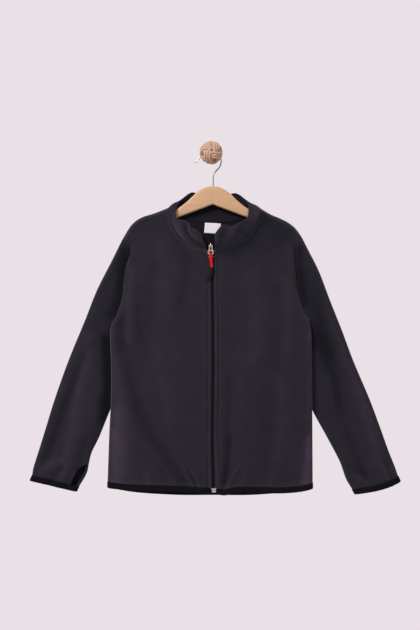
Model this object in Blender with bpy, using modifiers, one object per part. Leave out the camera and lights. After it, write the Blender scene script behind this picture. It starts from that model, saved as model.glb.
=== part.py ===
"""A zip-front stand-collar fleece jacket on a wooden hanger, hung from a rope-ball wall hook.

Tables are in millimetres and the finished meshes in metres. +X is the viewer's right, +Z is up and
the wall is the plane y = 0, with everything in front of it at negative y. The origin is the middle
of the wall hook's back face. "left" and "right" in names are the wearer's, so right is at -X.
"""

import math

import bmesh
import bpy
import numpy as np
from mathutils import Matrix, Vector

MM = 0.001

# Driving sizes of the cloth
CLOTH = 2.0  # thickness of the fleece
SEAM_GAP = 0.3  # clearance between two sewn pieces
SLEEVE_GAP = 0.4  # what a sleeve keeps of its own from the armhole's seam
COLLAR_GAP = 0.6  # and the collar from the neck's, whose edge twists
BINDING_HEIGHT = 12.5  # folded binding at hem and cuffs
BINDING = 3.2  # its thickness, the fleece edge included
BINDING_PROUD = 0.6  # how far its face stands out from the fleece
COLLAR = 3.2  # the collar is two layers of fleece
COLLAR_BULGE = 3.0  # how far it bows out between seam and rim

# How far pieces stand from the wall
RIDGE_Y = -22.0  # shoulder line, and the plane of the hanger
SIDE_Y = -26.0  # side seams
FRONT_Y = -33.0  # front panels near the sides and shoulders
CHEST_DEPTH = 14.0  # what the fronts stand out further beside the zip
BACK_Y = -12.5  # back panel at the shoulders
BACK_SIDE_Y = -19.5  # back panel beside the side seams, in front of the sleeves
BACK_HEM_Y = -15.0
ARM_VALLEY = 5.5  # how deep the front armhole seam lies in its fold
SLEEVE_Y = -10.5  # middle of a hanging sleeve
SLEEVE_HALF = 8.0  # half of its depth at the elbow
CUFF_HALF = 6.8
SIDE_ROLL = 8.0  # radius of the soft fold at side seams
ARM_ROLL = 11.0
UNDERARM_CLOSE = 0.07  # share of the armhole's length over which its front and back meet
RIDGE_ROLL = 15.0  # drop over which a shoulder rounds forwards or back

# Hanger and wall hook
WIRE_R = 1.5
BALL_R = 25.0
BALL_Y = -55.0
STEM_R = 6.0
ROSETTE_R = 16.0
ROSETTE_THICK = 6.0

# How the grids are laid
SIDE_ROWS = np.array([0, 0.17, 0.35, 0.53, 0.72, 0.88, 0.965, 1])  # rows beside a side seam, from the hem
SIDE_BEND = 3  # keeps the bend of a panel's sides near them
SLEEVE_ROWS = np.array([0, 0.03, 0.07, 0.12, 0.18, 0.26, 0.36, 0.48, 0.6, 0.72, 0.84, 0.93, 1.0])
INNER_LAG = 2.6  # keeps the rows near the underarm while the outer edge runs on
COLLAR_STEPS = 2  # columns for each point of the neck seam

# Zip
ZIP_EDGE = 3.4  # from the middle of the zip to each front's edge
CHAIN_HALF = 2.7
CHAIN_THICK = 1.8
TAPE_HALF = 13.0
TAPE_THICK = 0.8
CHAIN_TOP = -203.0
CHAIN_BOTTOM = -702.0
GUARD_THICK = 1.2
GRIP_R = 3.1
TAIL_THICK = 3.0
SLIDER_TOP = -187.0
SLIDER_THICK = 3.0
SLIDER_CLEAR = 0.4
BAIL_R = 0.9
BAIL_REACH = 4.6  # from the slider's face to the middle of the bail's bar
BAIL_TOP, BAIL_BOTTOM = -189.6, -197.6
TAB_THICK = 1.4
TAB_PIVOT = -193.6  # height of the pull tab's hinge
TAB_OUT = 1.9  # from the slider's face to the middle of the tab
LABEL_THICK = 0.6
PULL_X = 0.4

RIGHT, LEFT = -1, 1  # the wearer's sides, as the sign of x

# Outlines seen from the front, (x, z)
ZIP_LINE = [(0.5, -190), (1.5, -215), (3.3, -300), (4.6, -450), (5.3, -600), (5.8, -702)]
SHOULDER = {
    RIGHT: [(-91, -113.5), (-122, -125.5), (-143, -132), (-158.5, -140.5), (-170, -152), (-188, -181)],
    LEFT: [(108.5, -117), (126, -127), (147, -136), (164, -145), (178, -156.5), (191, -174)],
}
NECK_FRONT = {
    RIGHT: [(-9.5, -202), (-33, -197), (-55, -184.5), (-75, -159), (-83.5, -136), (-91, -113.5)],
    LEFT: [(8, -198), (30, -195.5), (53.5, -187.5), (70, -178), (86, -159), (108.5, -117)],
}
NECK_BACK = [(-91, -113.5), (-74, -130), (-40, -141), (4, -144), (50, -141), (88, -131), (108.5, -117)]
ARM_FRONT = {
    RIGHT: [(-188, -181), (-172, -188), (-170, -205), (-176.5, -226), (-183, -262), (-187, -300),
            (-197, -333), (-206, -352), (-212.3, -367)],
    LEFT: [(191, -174), (179.5, -180), (176.5, -195), (176.5, -225), (178.5, -255), (182.5, -288),
           (200, -340), (207.6, -351), (209.5, -362)],
}
ARM_BACK = {
    RIGHT: [(-188, -181), (-176, -190), (-172, -215), (-174, -262), (-184, -305), (-196, -333),
            (-206, -352), (-212.3, -367)],
    LEFT: [(191, -174), (182, -182), (177, -208), (177, -255), (186, -308), (200, -340), (207.6, -351),
           (209.5, -362)],
}
SIDE = {
    RIGHT: [(-212.3, -367), (-213.4, -379), (-212.2, -405), (-210.5, -450), (-211, -512),
            (-214.5, -580), (-218.5, -692)],
    LEFT: [(209.5, -362), (211.6, -374), (212, -400), (213.5, -530), (214.5, -694)],
}
HEM_FRONT = {
    RIGHT: [(-218.5, -692), (-175, -696), (-131, -697.5), (-51, -699.5), (2, -703.5)],
    LEFT: [(214.5, -694), (188, -699.5), (148, -702.5), (100, -701), (51.5, -701), (27, -705.5),
           (9.5, -704)],
}
HEM_BACK = [(-218.5, -692), (-160, -702), (-70, -708), (5, -708), (85, -708), (150, -703), (214.5, -694)]
SLEEVE_OUTER = {
    RIGHT: [(-188, -181), (-210, -225), (-242.5, -288), (-267.5, -351), (-302, -435), (-332, -519),
            (-351.5, -582), (-364.5, -624), (-377.5, -666), (-379.5, -679.5)],
    LEFT: [(191, -174), (206.5, -204), (228, -246), (252.5, -309), (277.5, -372), (301, -435),
           (336.5, -519), (360, -582), (375, -624), (391.5, -666), (396.5, -681)],
}
SLEEVE_INNER = {
    RIGHT: [(-212.8, -367), (-213.9, -370.5), (-213.8, -380), (-210.5, -393), (-201, -416), (-187, -447),
            (-191, -487), (-217, -537), (-242, -600), (-265, -661), (-280, -703)],
    LEFT: [(210, -362), (211.7, -365.5), (212.4, -376), (209.5, -389), (202, -412), (189, -446),
           (192, -486), (214, -540), (244, -601), (271, -664), (299, -709)],
}

# The collar's rim, one point (x, y, z) for each point of the neck seam in its order: right front from
# the zip, back from right to left, left front to the zip
RIM_RIGHT = [(-21, -55, -171.5), (-33, -59, -165), (-46, -56, -156), (-73, -46, -138), (-76, -35, -120)]
RIM_BACK = [(-64, -22, -98), (-43, -14.5, -81), (-24, -12, -85), (4, -11.5, -88), (33, -12, -86),
            (55, -14.5, -83), (77, -22, -102)]
RIM_LEFT = [(79, -42, -133), (73, -50, -143), (50, -56, -151.5), (23, -59, -151), (7, -57, -168)]

THUMB = dict(top=(-270, -653), bottom=(-289.5, -700), width=12.0)

# Flat outlines, (x, z)
GUARD = [(-24, -171), (10, -170.5), (11.5, -200), (11.5, -246), (-8, -246), (-12, -205)]
LABEL = dict(left=-14, right=20, top=-145, bottom=-167, lean=-0.9)
SLIDER = [(-2.4, 0), (2.4, 0), (4, -2.5), (4.6, -6), (5.8, -9), (5.8, -14), (4.8, -16), (-4.8, -16),
          (-5.8, -14), (-5.8, -9), (-4.6, -6), (-4, -2.5)]
TAB = [(-3.2, 1.5), (3.2, 1.5), (4.1, 0.6), (4.1, -8), (6.2, -12.5), (6.2, -16.5), (3.6, -19.6),
       (-3.6, -19.6), (-6.2, -16.5), (-6.2, -12.5), (-4.1, -8), (-4.1, 0.6)]
TAB_SLOT = dict(z=-4.2, width=2.9, height=5.4)
TAB_RING = dict(z=-15.2, width=6.6, height=4.2)
GRIP = [(0.4, -213.9), (0.4, -222), (1.0, -231), (1.3, -239)]
TAIL = [(-1.6, -239.6), (4.6, -239.6), (4.8, -246), (1.6, -255), (-2.2, -265.5), (-8.8, -268), (-8.4, -262),
        (-4.6, -253), (-2.0, -246)]
BOX = dict(x=5.8, top=-702.5, bottom=-711.5, half=4.4, thick=2.6)

# Sections of one arm of the hanger, from the middle outwards: a row holds the distance from the
# middle and the height of its upper edge, the same of its lower edge, and its thickness. Where the
# arm carries a shoulder, its upper height is measured from the shoulder line instead
WOOD_MIDDLE = 3.6
WOOD_SECTIONS = [
    (0, -67.6, 0, -104, 10),
    (10, -68.4, 8, -105.2, 10),
    (20, -71.6, 17, -108.5, 10),
    (31, -78, 28, -113.5, 10),
    (42, -88, 40, -118.6, 10),
    (53, -98.5, 51, -123.3, 10),
    (66, -109, 63, -128.4, 10),
    (78, -117, 75, -133.5, 10),
    (92, -124.5, 90, -139.8, 10),
    (116, -130, 112, -148.5, 10),
    (138, -3.2, 134, -158, 9.4),
    (148, -3.4, 145, -163, 9),
    (157, -5.0, 153, -166.5, 8.4),
    (161.5, -155.5, 159, -166, 7),
    (163, -158.5, 162, -162.5, 3),
]
WOOD_ROUND = 4.4  # radius of its edges
HOOK_BORE = 1.85
HOOK_DEPTH = 14.0
HOOK = [(-31.7, -17.5), (-27.5, -11), (-21.5, -3), (-12, 4.6), (-1, 8), (9.5, 5.2), (18, -3.2),
        (21.5, -14.5), (18.5, -26), (11.5, -34.5), (6.4, -41), (4.6, -49), (4.6, -58), (4.6, -68),
        (4.6, -81)]

# Largest folds of the panels: middle x and z, half length and half width, height outwards,
# and the lean of the fold from upright in degrees
FRONT_FOLDS = [
    dict(x=55, z=-655, length=42, width=15, height=4.0, lean=-32),
    dict(x=196, z=-660, length=34, width=13, height=3.5, lean=-28),
    dict(x=-112, z=-330, length=85, width=24, height=-3.0, lean=8),
    dict(x=-60, z=-560, length=120, width=34, height=2.5, lean=-4),
    dict(x=120, z=-300, length=90, width=26, height=-3.0, lean=-7),
    dict(x=105, z=-520, length=110, width=36, height=2.5, lean=5),
]
BACK_FOLDS = [
    dict(x=-95, z=-330, length=110, width=28, height=2.5, lean=10),
    dict(x=90, z=-350, length=120, width=30, height=2.5, lean=-9),
    dict(x=10, z=-560, length=120, width=40, height=-2.5, lean=3),
]


# ---------------------------------------------------------------- curves and surfaces


def smooth(points, steps=12):
    """A dense line through the points, on a centripetal Catmull-Rom curve."""
    p = np.array(points, float)
    p = np.vstack([2 * p[0] - p[1], p, 2 * p[-1] - p[-2]])
    line = []
    for a, b, c, d in zip(p, p[1:], p[2:], p[3:]):
        ta = np.linalg.norm(b - a) ** 0.5
        tb = ta + np.linalg.norm(c - b) ** 0.5
        tc = tb + np.linalg.norm(d - c) ** 0.5
        for t in np.linspace(ta, tb, steps, endpoint=False):
            ab = a + (b - a) * t / ta
            bc = b + (c - b) * (t - ta) / (tb - ta)
            cd = c + (d - c) * (t - tb) / (tc - tb)
            abc = ab + (bc - ab) * t / tb
            bcd = bc + (cd - bc) * (t - ta) / (tc - ta)
            line.append(abc + (bcd - abc) * (t - ta) / (tb - ta))
    return np.array(line + [p[-2]])


def joined(*lines):
    """Lines that follow one another, as one line."""
    return np.vstack([lines[0]] + [line[1:] for line in lines[1:]])


def fractions(line):
    """How far along its length each point of a line is."""
    steps = np.linalg.norm(np.diff(line, axis=0), axis=1)
    run = np.concatenate([[0], np.cumsum(steps)])
    return run / run[-1]


def at(line, where):
    """Points at these fractions of a line's length."""
    run = fractions(line)
    return np.stack([np.interp(where, run, line[:, i]) for i in range(line.shape[1])], axis=-1)


def patch(bottom, top, start, end):
    """A grid between four rows of points: bottom and top run along u, start and end run up along v.

    Columns are straight in the middle, and bend beside start and end.
    """
    u = ((fractions(bottom) + fractions(top)) / 2)[None, :, None]
    v = ((fractions(start) + fractions(end)) / 2)[:, None, None]
    straight = (1 - v) * bottom[None] + v * top[None]
    start_bend = start[:, None] - (1 - v) * bottom[0] - v * top[0]
    end_bend = end[:, None] - (1 - v) * bottom[-1] - v * top[-1]
    return straight + (1 - u) ** SIDE_BEND * start_bend + u**SIDE_BEND * end_bend


def away(points, line):
    """Distance from each (x, z) point to a line."""
    starts, runs = line[:-1], np.diff(line, axis=0)
    from_start = points.reshape(-1, 1, 2) - starts
    along = np.clip((from_start * runs).sum(-1) / (runs**2).sum(-1), 0, 1)
    gaps = from_start - along[..., None] * runs
    return np.sqrt((gaps**2).sum(-1).min(1)).reshape(points.shape[:-1])


def roll(distance, radius):
    """0 on a fold and 1 beyond its radius, along a quarter of an ellipse."""
    rest = 1 - np.clip(distance / radius, 0, 1)
    return np.sqrt(1 - rest**2)


def ease(value, start, end):
    """0 before start and 1 after end, with soft ends."""
    t = np.clip((value - start) / (end - start), 0, 1)
    return t * t * (3 - 2 * t)


def folds(x, z, table):
    """Height of the folds of a table at (x, z)."""
    height = np.zeros_like(x)
    for f in table:
        lean = math.radians(f["lean"])
        dx, dz = x - f["x"], z - f["z"]
        along = dx * math.sin(lean) + dz * math.cos(lean)
        across = dx * math.cos(lean) - dz * math.sin(lean)
        height += f["height"] * np.exp(-((along / f["length"]) ** 2) - (across / f["width"]) ** 2)
    return height


def steps_to_fold(width, radius, near=4, far=6):
    """Fractions from 0 to 1 of a width, close together on the fold at its end."""
    turn = width - radius * (1 - np.cos(np.linspace(math.pi / 2, 0, near + 1)))
    return np.concatenate([np.linspace(0, turn[0], far + 1)[:-1], turn]) / width


def normals(points, closed=False):
    """Unit normals of a grid of points, on the side of across times along."""
    if closed:
        across = np.roll(points, -1, 1) - np.roll(points, 1, 1)
    else:
        across = np.gradient(points, axis=1)
    along = np.gradient(points, axis=0)
    n = np.cross(across, along)
    return n / np.maximum(np.linalg.norm(n, axis=-1, keepdims=True), 1e-9)


def edge_normals(points, line, outwards):
    """Normals in the wall's plane where points lie on an (x, z) line, on the side of outwards."""
    nearest = ((points[:, None, ::2] - line[None]) ** 2).sum(-1).argmin(1)
    run = np.gradient(line, axis=0)[nearest]
    n = np.stack([-run[:, 1], np.zeros(len(run)), run[:, 0]], axis=-1)
    n /= np.linalg.norm(n, axis=-1, keepdims=True)
    return n * np.sign((n * np.array(outwards)).sum(-1, keepdims=True))


# ---------------------------------------------------------------- objects


def new_collection(name):
    collection = bpy.data.collections.new(name)
    bpy.context.scene.collection.children.link(collection)
    return collection


def material(name, colour, roughness, metallic=0.0):
    made = bpy.data.materials.new(name)
    made.use_nodes = True
    shader = made.node_tree.nodes["Principled BSDF"]
    shader.inputs["Base Color"].default_value = (*colour, 1)
    shader.inputs["Roughness"].default_value = roughness
    shader.inputs["Metallic"].default_value = metallic
    return made


def add_mesh(name, mesh, finish, collection, smooth_angle=40):
    mesh.materials.append(finish)
    mesh.shade_smooth()
    mesh.set_sharp_from_angle(angle=math.radians(smooth_angle))
    made = bpy.data.objects.new(name, mesh)
    collection.objects.link(made)
    return made


def from_bmesh(name, shape, finish, collection):
    mesh = bpy.data.meshes.new(name)
    shape.to_mesh(mesh)
    shape.free()
    return add_mesh(name, mesh, finish, collection)


def wall(name, outer, inner, finish, collection, closed=False):
    """A closed wall between two grids of points. closed joins the last column to the first."""
    rows, columns = outer.shape[:2]
    shape = bmesh.new()
    grids = [[[shape.verts.new(p * MM) for p in row] for row in grid] for grid in (outer, inner)]
    last = columns if closed else columns - 1
    for j in range(last):
        k = (j + 1) % columns
        for i in range(rows - 1):
            for grid in grids:
                shape.faces.new((grid[i][j], grid[i][k], grid[i + 1][k], grid[i + 1][j]))
        for i in (0, rows - 1):
            shape.faces.new((grids[0][i][j], grids[0][i][k], grids[1][i][k], grids[1][i][j]))
    if not closed:
        for j in (0, columns - 1):
            for i in range(rows - 1):
                shape.faces.new((grids[0][i][j], grids[0][i + 1][j], grids[1][i + 1][j], grids[1][i][j]))
    bmesh.ops.recalc_face_normals(shape, faces=shape.faces)
    return from_bmesh(name, shape, finish, collection)


def pulled_in(points, closed=False, gap=SEAM_GAP / 2):
    """The grid with each outer row moved inwards by the gap, and each outer column unless it is closed."""
    made = points.copy()
    for edge, inside in ((0, 1), (-1, -2)):
        for view in (made,) if closed else (made, made.swapaxes(0, 1)):
            step = view[inside] - view[edge]
            length = np.linalg.norm(step, axis=-1, keepdims=True)
            view[edge] += step * np.minimum(0.4, gap / np.maximum(length, 1e-6))
    return made


def tube(name, points, radius, finish, collection, resolution=2):
    """A wire or cord through points in millimetres."""
    curve = bpy.data.curves.new(name, "CURVE")
    curve.dimensions = "3D"
    curve.bevel_depth = radius * MM
    curve.bevel_resolution = resolution
    curve.use_fill_caps = True
    spline = curve.splines.new("POLY")
    spline.points.add(len(points) - 1)
    for point, place in zip(spline.points, points):
        point.co = (*(np.array(place) * MM), 1)
    curve.materials.append(finish)
    made = bpy.data.objects.new(name, curve)
    collection.objects.link(made)
    return made


def plate(name, outline, thickness, y, finish, collection):
    """A flat outline of (x, z) in millimetres, extruded and centred on y."""
    curve = bpy.data.curves.new(name, "CURVE")
    curve.dimensions = "2D"
    curve.fill_mode = "BOTH"
    curve.extrude = thickness * MM / 2
    spline = curve.splines.new("POLY")
    spline.points.add(len(outline) - 1)
    for point, (x, z) in zip(spline.points, outline):
        point.co = (x * MM, z * MM, 0, 1)
    spline.use_cyclic_u = True
    guide = bpy.data.objects.new(name + "_outline", curve)
    collection.objects.link(guide)
    bpy.context.view_layer.update()
    graph = bpy.context.evaluated_depsgraph_get()
    mesh = bpy.data.meshes.new_from_object(guide.evaluated_get(graph))
    bpy.data.objects.remove(guide)
    mesh.name = name
    shape = bmesh.new()
    shape.from_mesh(mesh)
    bmesh.ops.remove_doubles(shape, verts=shape.verts, dist=1e-6)
    bmesh.ops.transform(shape, matrix=Matrix.Rotation(math.pi / 2, 4, "X"), verts=shape.verts)
    bmesh.ops.translate(shape, vec=(0, y * MM, 0), verts=shape.verts)
    bmesh.ops.recalc_face_normals(shape, faces=shape.faces)
    shape.to_mesh(mesh)
    shape.free()
    return add_mesh(name, mesh, finish, collection)


# ---------------------------------------------------------------- body panels


def front_depth(x, z):
    """How far a front stands from the wall away from its edges."""
    across = np.cos(np.clip(x / 205, -1, 1) * math.pi / 2) ** 1.6
    down = ease(-z, 110, 215) * (1 - 0.25 * ease(-z, 450, 710))
    return FRONT_Y - CHEST_DEPTH * across * down - folds(x, z, FRONT_FOLDS)


def back_depth(x, z):
    side = ease(np.abs(x), 90, 195) * ease(-z, 230, 370)
    centre = BACK_Y + (BACK_HEM_Y - BACK_Y) * ease(-z, 400, 700)
    return centre + (BACK_SIDE_Y - centre) * side + folds(x, z, BACK_FOLDS)


def over_ridge(flat, y, ridge):
    """A panel's depth, rounded back to the shoulder line."""
    return RIDGE_Y + (y - RIDGE_Y) * roll(away(flat, ridge), RIDGE_ROLL)


def ring_fractions():
    """Places across a sleeve from its outer to its inner edge, close together at both."""
    half = steps_to_fold(50, SLEEVE_HALF, near=3, far=3)
    return np.concatenate([(1 - half[::-1]) / 2, (1 + half[1:]) / 2])


def armhole(side, table, depth, valley):
    """(x, y, z) down an armhole seam, one for each column of the sleeve. It lies in a valley."""
    down = ring_fractions()
    flat = at(smooth(table[side]), down)
    y = over_ridge(flat, depth(flat[:, 0], flat[:, 1]), smooth(SHOULDER[side]))
    y = y + valley * ease(down, 0.03, 0.25)
    y = SIDE_Y + (y - SIDE_Y) * roll(1 - down, UNDERARM_CLOSE)
    return np.stack([flat[:, 0], y, flat[:, 1]], axis=-1)


def front_armhole(side):
    return armhole(side, ARM_FRONT, front_depth, ARM_VALLEY)


def back_armhole(side):
    return armhole(side, ARM_BACK, back_depth, 0)


def side_edge(side, arm):
    """(x, y, z) up a panel's side: the side seam, then the armhole."""
    flat = at(smooth(SIDE[side])[::-1], SIDE_ROWS)
    seam = np.stack([flat[:, 0], np.full(len(flat), SIDE_Y), flat[:, 1]], axis=-1)
    return np.vstack([seam, arm[::-1][1:]])


def shoulder_points(side):
    """(x, z) along the shoulder line, close together where the panel turns down to the side."""
    length = np.linalg.norm(np.diff(smooth(SHOULDER[side]), axis=0), axis=1).sum()
    return at(smooth(SHOULDER[side]), steps_to_fold(length, SIDE_ROLL + 3, near=3, far=6))


def zip_middle(z):
    """x of the middle of the zip at this height."""
    line = smooth(ZIP_LINE)
    return np.interp(-z, -line[:, 1], line[:, 0])


def zip_side(side):
    """A front's edge beside the zip, from the hem to the neck."""
    heights = np.array([-600, -450, -350, -260, -228, -214])
    along = list(zip(zip_middle(heights) + side * ZIP_EDGE, heights))
    return smooth([HEM_FRONT[side][-1]] + along + [NECK_FRONT[side][0]])


def rounded(flat, depth, ridges, edges):
    """y over a panel: its depth, rounded to its shoulder lines and then to its side edges."""
    y = depth(flat[..., 0], flat[..., 1])
    for ridge in ridges:
        y = over_ridge(flat, y, ridge)
    for edge in edges:
        from_underarm = np.arange(len(edge)) - len(SIDE_ROWS) + 1
        radius = np.interp(from_underarm, [-2, 3], [SIDE_ROLL, ARM_ROLL])[:, None]
        seam_y = edge[:, 1][:, None]
        y = seam_y + (y - seam_y) * roll(away(flat, edge[:, ::2]), radius)
    return y


def dense(line):
    """The same line with a point every millimetre or so."""
    return at(line, np.linspace(0, 1, 500))


def front_panel(side):
    """(points, normals) of one front: columns from the zip to the side, rows from hem to shoulder."""
    ridge = smooth(SHOULDER[side])
    neck = smooth(NECK_FRONT[side], steps=COLLAR_STEPS)
    top = joined(neck, shoulder_points(side))
    edge = side_edge(side, front_armhole(side))
    bottom = at(smooth(HEM_FRONT[side])[::-1], fractions(top))
    flat = patch(bottom, top, at(zip_side(side), fractions(edge[:, ::2])), edge[:, ::2])
    y = rounded(flat, front_depth, [ridge], [edge])
    points = np.stack([flat[..., 0], y, flat[..., 1]], axis=-1)
    outwards = normals(points)
    outwards *= np.sign(-outwards[len(points) // 2, len(neck) // 2, 1])
    outwards[:, -1] = edge_normals(points[:, -1], dense(edge[:, ::2]), (side, 0, 0.2))
    shoulder = slice(len(neck) - 1, None)
    outwards[-1, shoulder] = edge_normals(points[-1, shoulder], ridge, (0, 0, 1))
    points[:, -1, 1] -= SEAM_GAP / 2
    points[-1, shoulder, 1] -= SEAM_GAP / 2
    return points, outwards


def back_panel():
    """(points, normals) of the back: columns from right to left, rows from hem to shoulders."""
    ridges = {side: smooth(SHOULDER[side]) for side in (RIGHT, LEFT)}
    edges = {side: side_edge(side, back_armhole(side)) for side in (RIGHT, LEFT)}
    neck = smooth(NECK_BACK, steps=COLLAR_STEPS)
    top = joined(shoulder_points(RIGHT)[::-1], neck, shoulder_points(LEFT))
    bottom = at(smooth(HEM_BACK), fractions(top))
    flat = patch(bottom, top, edges[RIGHT][:, ::2], edges[LEFT][:, ::2])
    y = rounded(flat, back_depth, ridges.values(), edges.values())
    points = np.stack([flat[..., 0], y, flat[..., 1]], axis=-1)
    outwards = normals(points)
    outwards *= np.sign(outwards[len(points) // 2, len(top) // 2, 1])
    count = len(shoulder_points(RIGHT))
    for side, column, shoulder in ((RIGHT, 0, slice(0, count)), (LEFT, -1, slice(-count, None))):
        outwards[:, column] = edge_normals(points[:, column], dense(edges[side][:, ::2]), (side, 0, 0.2))
        outwards[-1, shoulder] = edge_normals(points[-1, shoulder], ridges[side], (0, 0, 1))
        points[:, column, 1] += SEAM_GAP / 2
        points[-1, shoulder, 1] += SEAM_GAP / 2
    return points, outwards


def neck_seam():
    """The seam that carries the collar, (x, y, z) from the right front edge round the back."""
    parts = []
    for depth, table in (
        (front_depth, NECK_FRONT[RIGHT]),
        (back_depth, NECK_BACK),
        (front_depth, NECK_FRONT[LEFT][::-1]),
    ):
        flat = smooth(table, steps=COLLAR_STEPS)
        y = depth(flat[:, 0], flat[:, 1])
        for side in (RIGHT, LEFT):
            y = over_ridge(flat, y, smooth(SHOULDER[side]))
        parts.append(np.stack([flat[:, 0], y, flat[:, 1]], axis=-1))
    return joined(*parts)


def collar_grid(seam_normals):
    """(points, normals) of the collar's outer face: columns round the neck, rows from seam to rim."""
    seam = neck_seam()
    rim = smooth(RIM_RIGHT + RIM_BACK + RIM_LEFT, steps=COLLAR_STEPS)
    rows = np.linspace(0, 1, 5)[:, None, None]
    points = seam[None] + (rim - seam)[None] * rows
    outwards = normals(points)
    outwards *= np.sign(outwards[0, len(seam) // 2, 1])
    points = points + outwards * COLLAR_BULGE * np.sin(math.pi * rows)
    outwards[0] = seam_normals
    return points, outwards


# ---------------------------------------------------------------- sleeves


def path_normals(path, side):
    """Unit normals of an (x, z) path that runs down, on the side of x given by side."""
    run = np.gradient(path, axis=0)
    n = np.stack([-run[:, 1], run[:, 0]], axis=-1) * side
    return n / np.linalg.norm(n, axis=-1, keepdims=True)


def sleeve_grid(side):
    """(points, normals) of a sleeve: columns down its front from outer to inner edge and up its back."""
    outer, inner = smooth(SLEEVE_OUTER[side]), smooth(SLEEVE_INNER[side])
    across = ring_fractions()
    ring = np.concatenate([across, across[-2:0:-1]])
    is_front = np.arange(len(ring)) < len(across)
    ts = SLEEVE_ROWS
    starts = at(outer, ts)[:, None]
    chord = at(inner, ts**INNER_LAG)[:, None] - starts
    flat = starts + chord * ring[None, :, None]
    width = np.linalg.norm(chord, axis=-1)
    half_depth = SLEEVE_HALF + (CUFF_HALF - SLEEVE_HALF) * ts[:, None]
    from_edge = np.minimum(ring, 1 - ring)[None] * width
    y = SLEEVE_Y + np.where(is_front, -1, 1) * half_depth * roll(from_edge, half_depth)
    hanging = np.stack([flat[..., 0], y, flat[..., 1]], axis=-1)
    seam = np.vstack([front_armhole(side), back_armhole(side)[-2:0:-1]])
    seam[:, 0] += side * 2 * SEAM_GAP
    seam[len(across):, 1] += 2 * SEAM_GAP
    held = 1 - ease(ts[:, None] / (0.28 - 0.12 * ring[None]), 0, 1)
    points = hanging + held[..., None] * (seam - hanging[0])[None]
    flat_part = roll(from_edge, half_depth)
    edge_part = np.sqrt(1 - flat_part**2)
    sideways = np.where(
        (ring < 0.5)[None, :, None],
        path_normals(starts[:, 0], side)[:, None],
        path_normals(starts[:, 0] + chord[:, 0], -side)[:, None],
    )
    sideways = edge_part[..., None] * sideways
    facing = np.where(is_front, -1, 1) * flat_part
    outwards = np.stack([sideways[..., 0], facing, sideways[..., 1]], axis=-1)
    return points, outwards


def cloth_wall(name, points, outwards, thickness, finish, collection, closed=False, gap=SEAM_GAP / 2):
    outer = pulled_in(points, closed, gap)
    return wall(name, outer, outer - thickness * outwards, finish, collection, closed)


def binding(name, edge, outwards, down, finish, collection, closed=False):
    """The folded band under a panel's edge. down holds the direction of each of its columns."""
    rows = np.array([SEAM_GAP, BINDING_HEIGHT / 2, BINDING_HEIGHT])[:, None, None]
    grid = edge[None] + down[None] * rows + BINDING_PROUD * outwards[None]
    facing = np.repeat(outwards[None], len(rows), axis=0)
    if not closed:
        grid = pulled_in(grid)
    return wall(name, grid, grid - BINDING * facing, finish, collection, closed)


# ---------------------------------------------------------------- zip, label, hanger and wall hook


def zip_y(z):
    """Face of the fronts beside the zip."""
    z = np.asarray(z, float)
    return front_depth(zip_middle(z), z)


def strip(name, half_width, behind, thickness, finish, collection):
    """A band down the middle of the zip, which follows the fronts this far behind their face."""
    heights = np.linspace(CHAIN_BOTTOM, CHAIN_TOP, 14)[:, None]
    x = zip_middle(heights) + np.array([-half_width, 0, half_width])[None]
    z = np.repeat(heights, 3, axis=1)
    face = np.stack([x, front_depth(x, z) + behind, z], axis=-1)
    wall(name, face, face + np.array([0, thickness, 0]), finish, collection)


def cut(target, cutter, cutters):
    cutters.objects.link(cutter)
    cutter.hide_render = True
    cutter.display_type = "WIRE"
    modifier = target.modifiers.new("cut_" + cutter.name, "BOOLEAN")
    modifier.operation = "DIFFERENCE"
    modifier.object = cutter


def cutter_box(name, low, high):
    shape = bmesh.new()
    size = (np.array(high) - np.array(low)) * MM
    middle = (np.array(high) + np.array(low)) * MM / 2
    bmesh.ops.create_cube(shape, size=1, matrix=Matrix.Translation(middle) @ Matrix.Diagonal((*size, 1)))
    mesh = bpy.data.meshes.new(name)
    shape.to_mesh(mesh)
    shape.free()
    return bpy.data.objects.new(name, mesh)


def turned(name, radius, start, end, sides, finish, collection, y_axis=True, at_x=0.0, at_z=0.0):
    """A cylinder along y, or along z, from start to end."""
    shape = bmesh.new()
    bmesh.ops.create_cone(
        shape, cap_ends=True, segments=sides, radius1=radius * MM, radius2=radius * MM,
        depth=abs(end - start) * MM,
    )
    middle = (start + end) / 2
    if y_axis:
        bmesh.ops.transform(shape, matrix=Matrix.Rotation(math.pi / 2, 4, "X"), verts=shape.verts)
        bmesh.ops.translate(shape, vec=Vector((at_x, middle, at_z)) * MM, verts=shape.verts)
    else:
        bmesh.ops.translate(shape, vec=Vector((at_x, RIDGE_Y, middle)) * MM, verts=shape.verts)
    if collection is None:
        mesh = bpy.data.meshes.new(name)
        shape.to_mesh(mesh)
        shape.free()
        return bpy.data.objects.new(name, mesh)
    return from_bmesh(name, shape, finish, collection)


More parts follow.
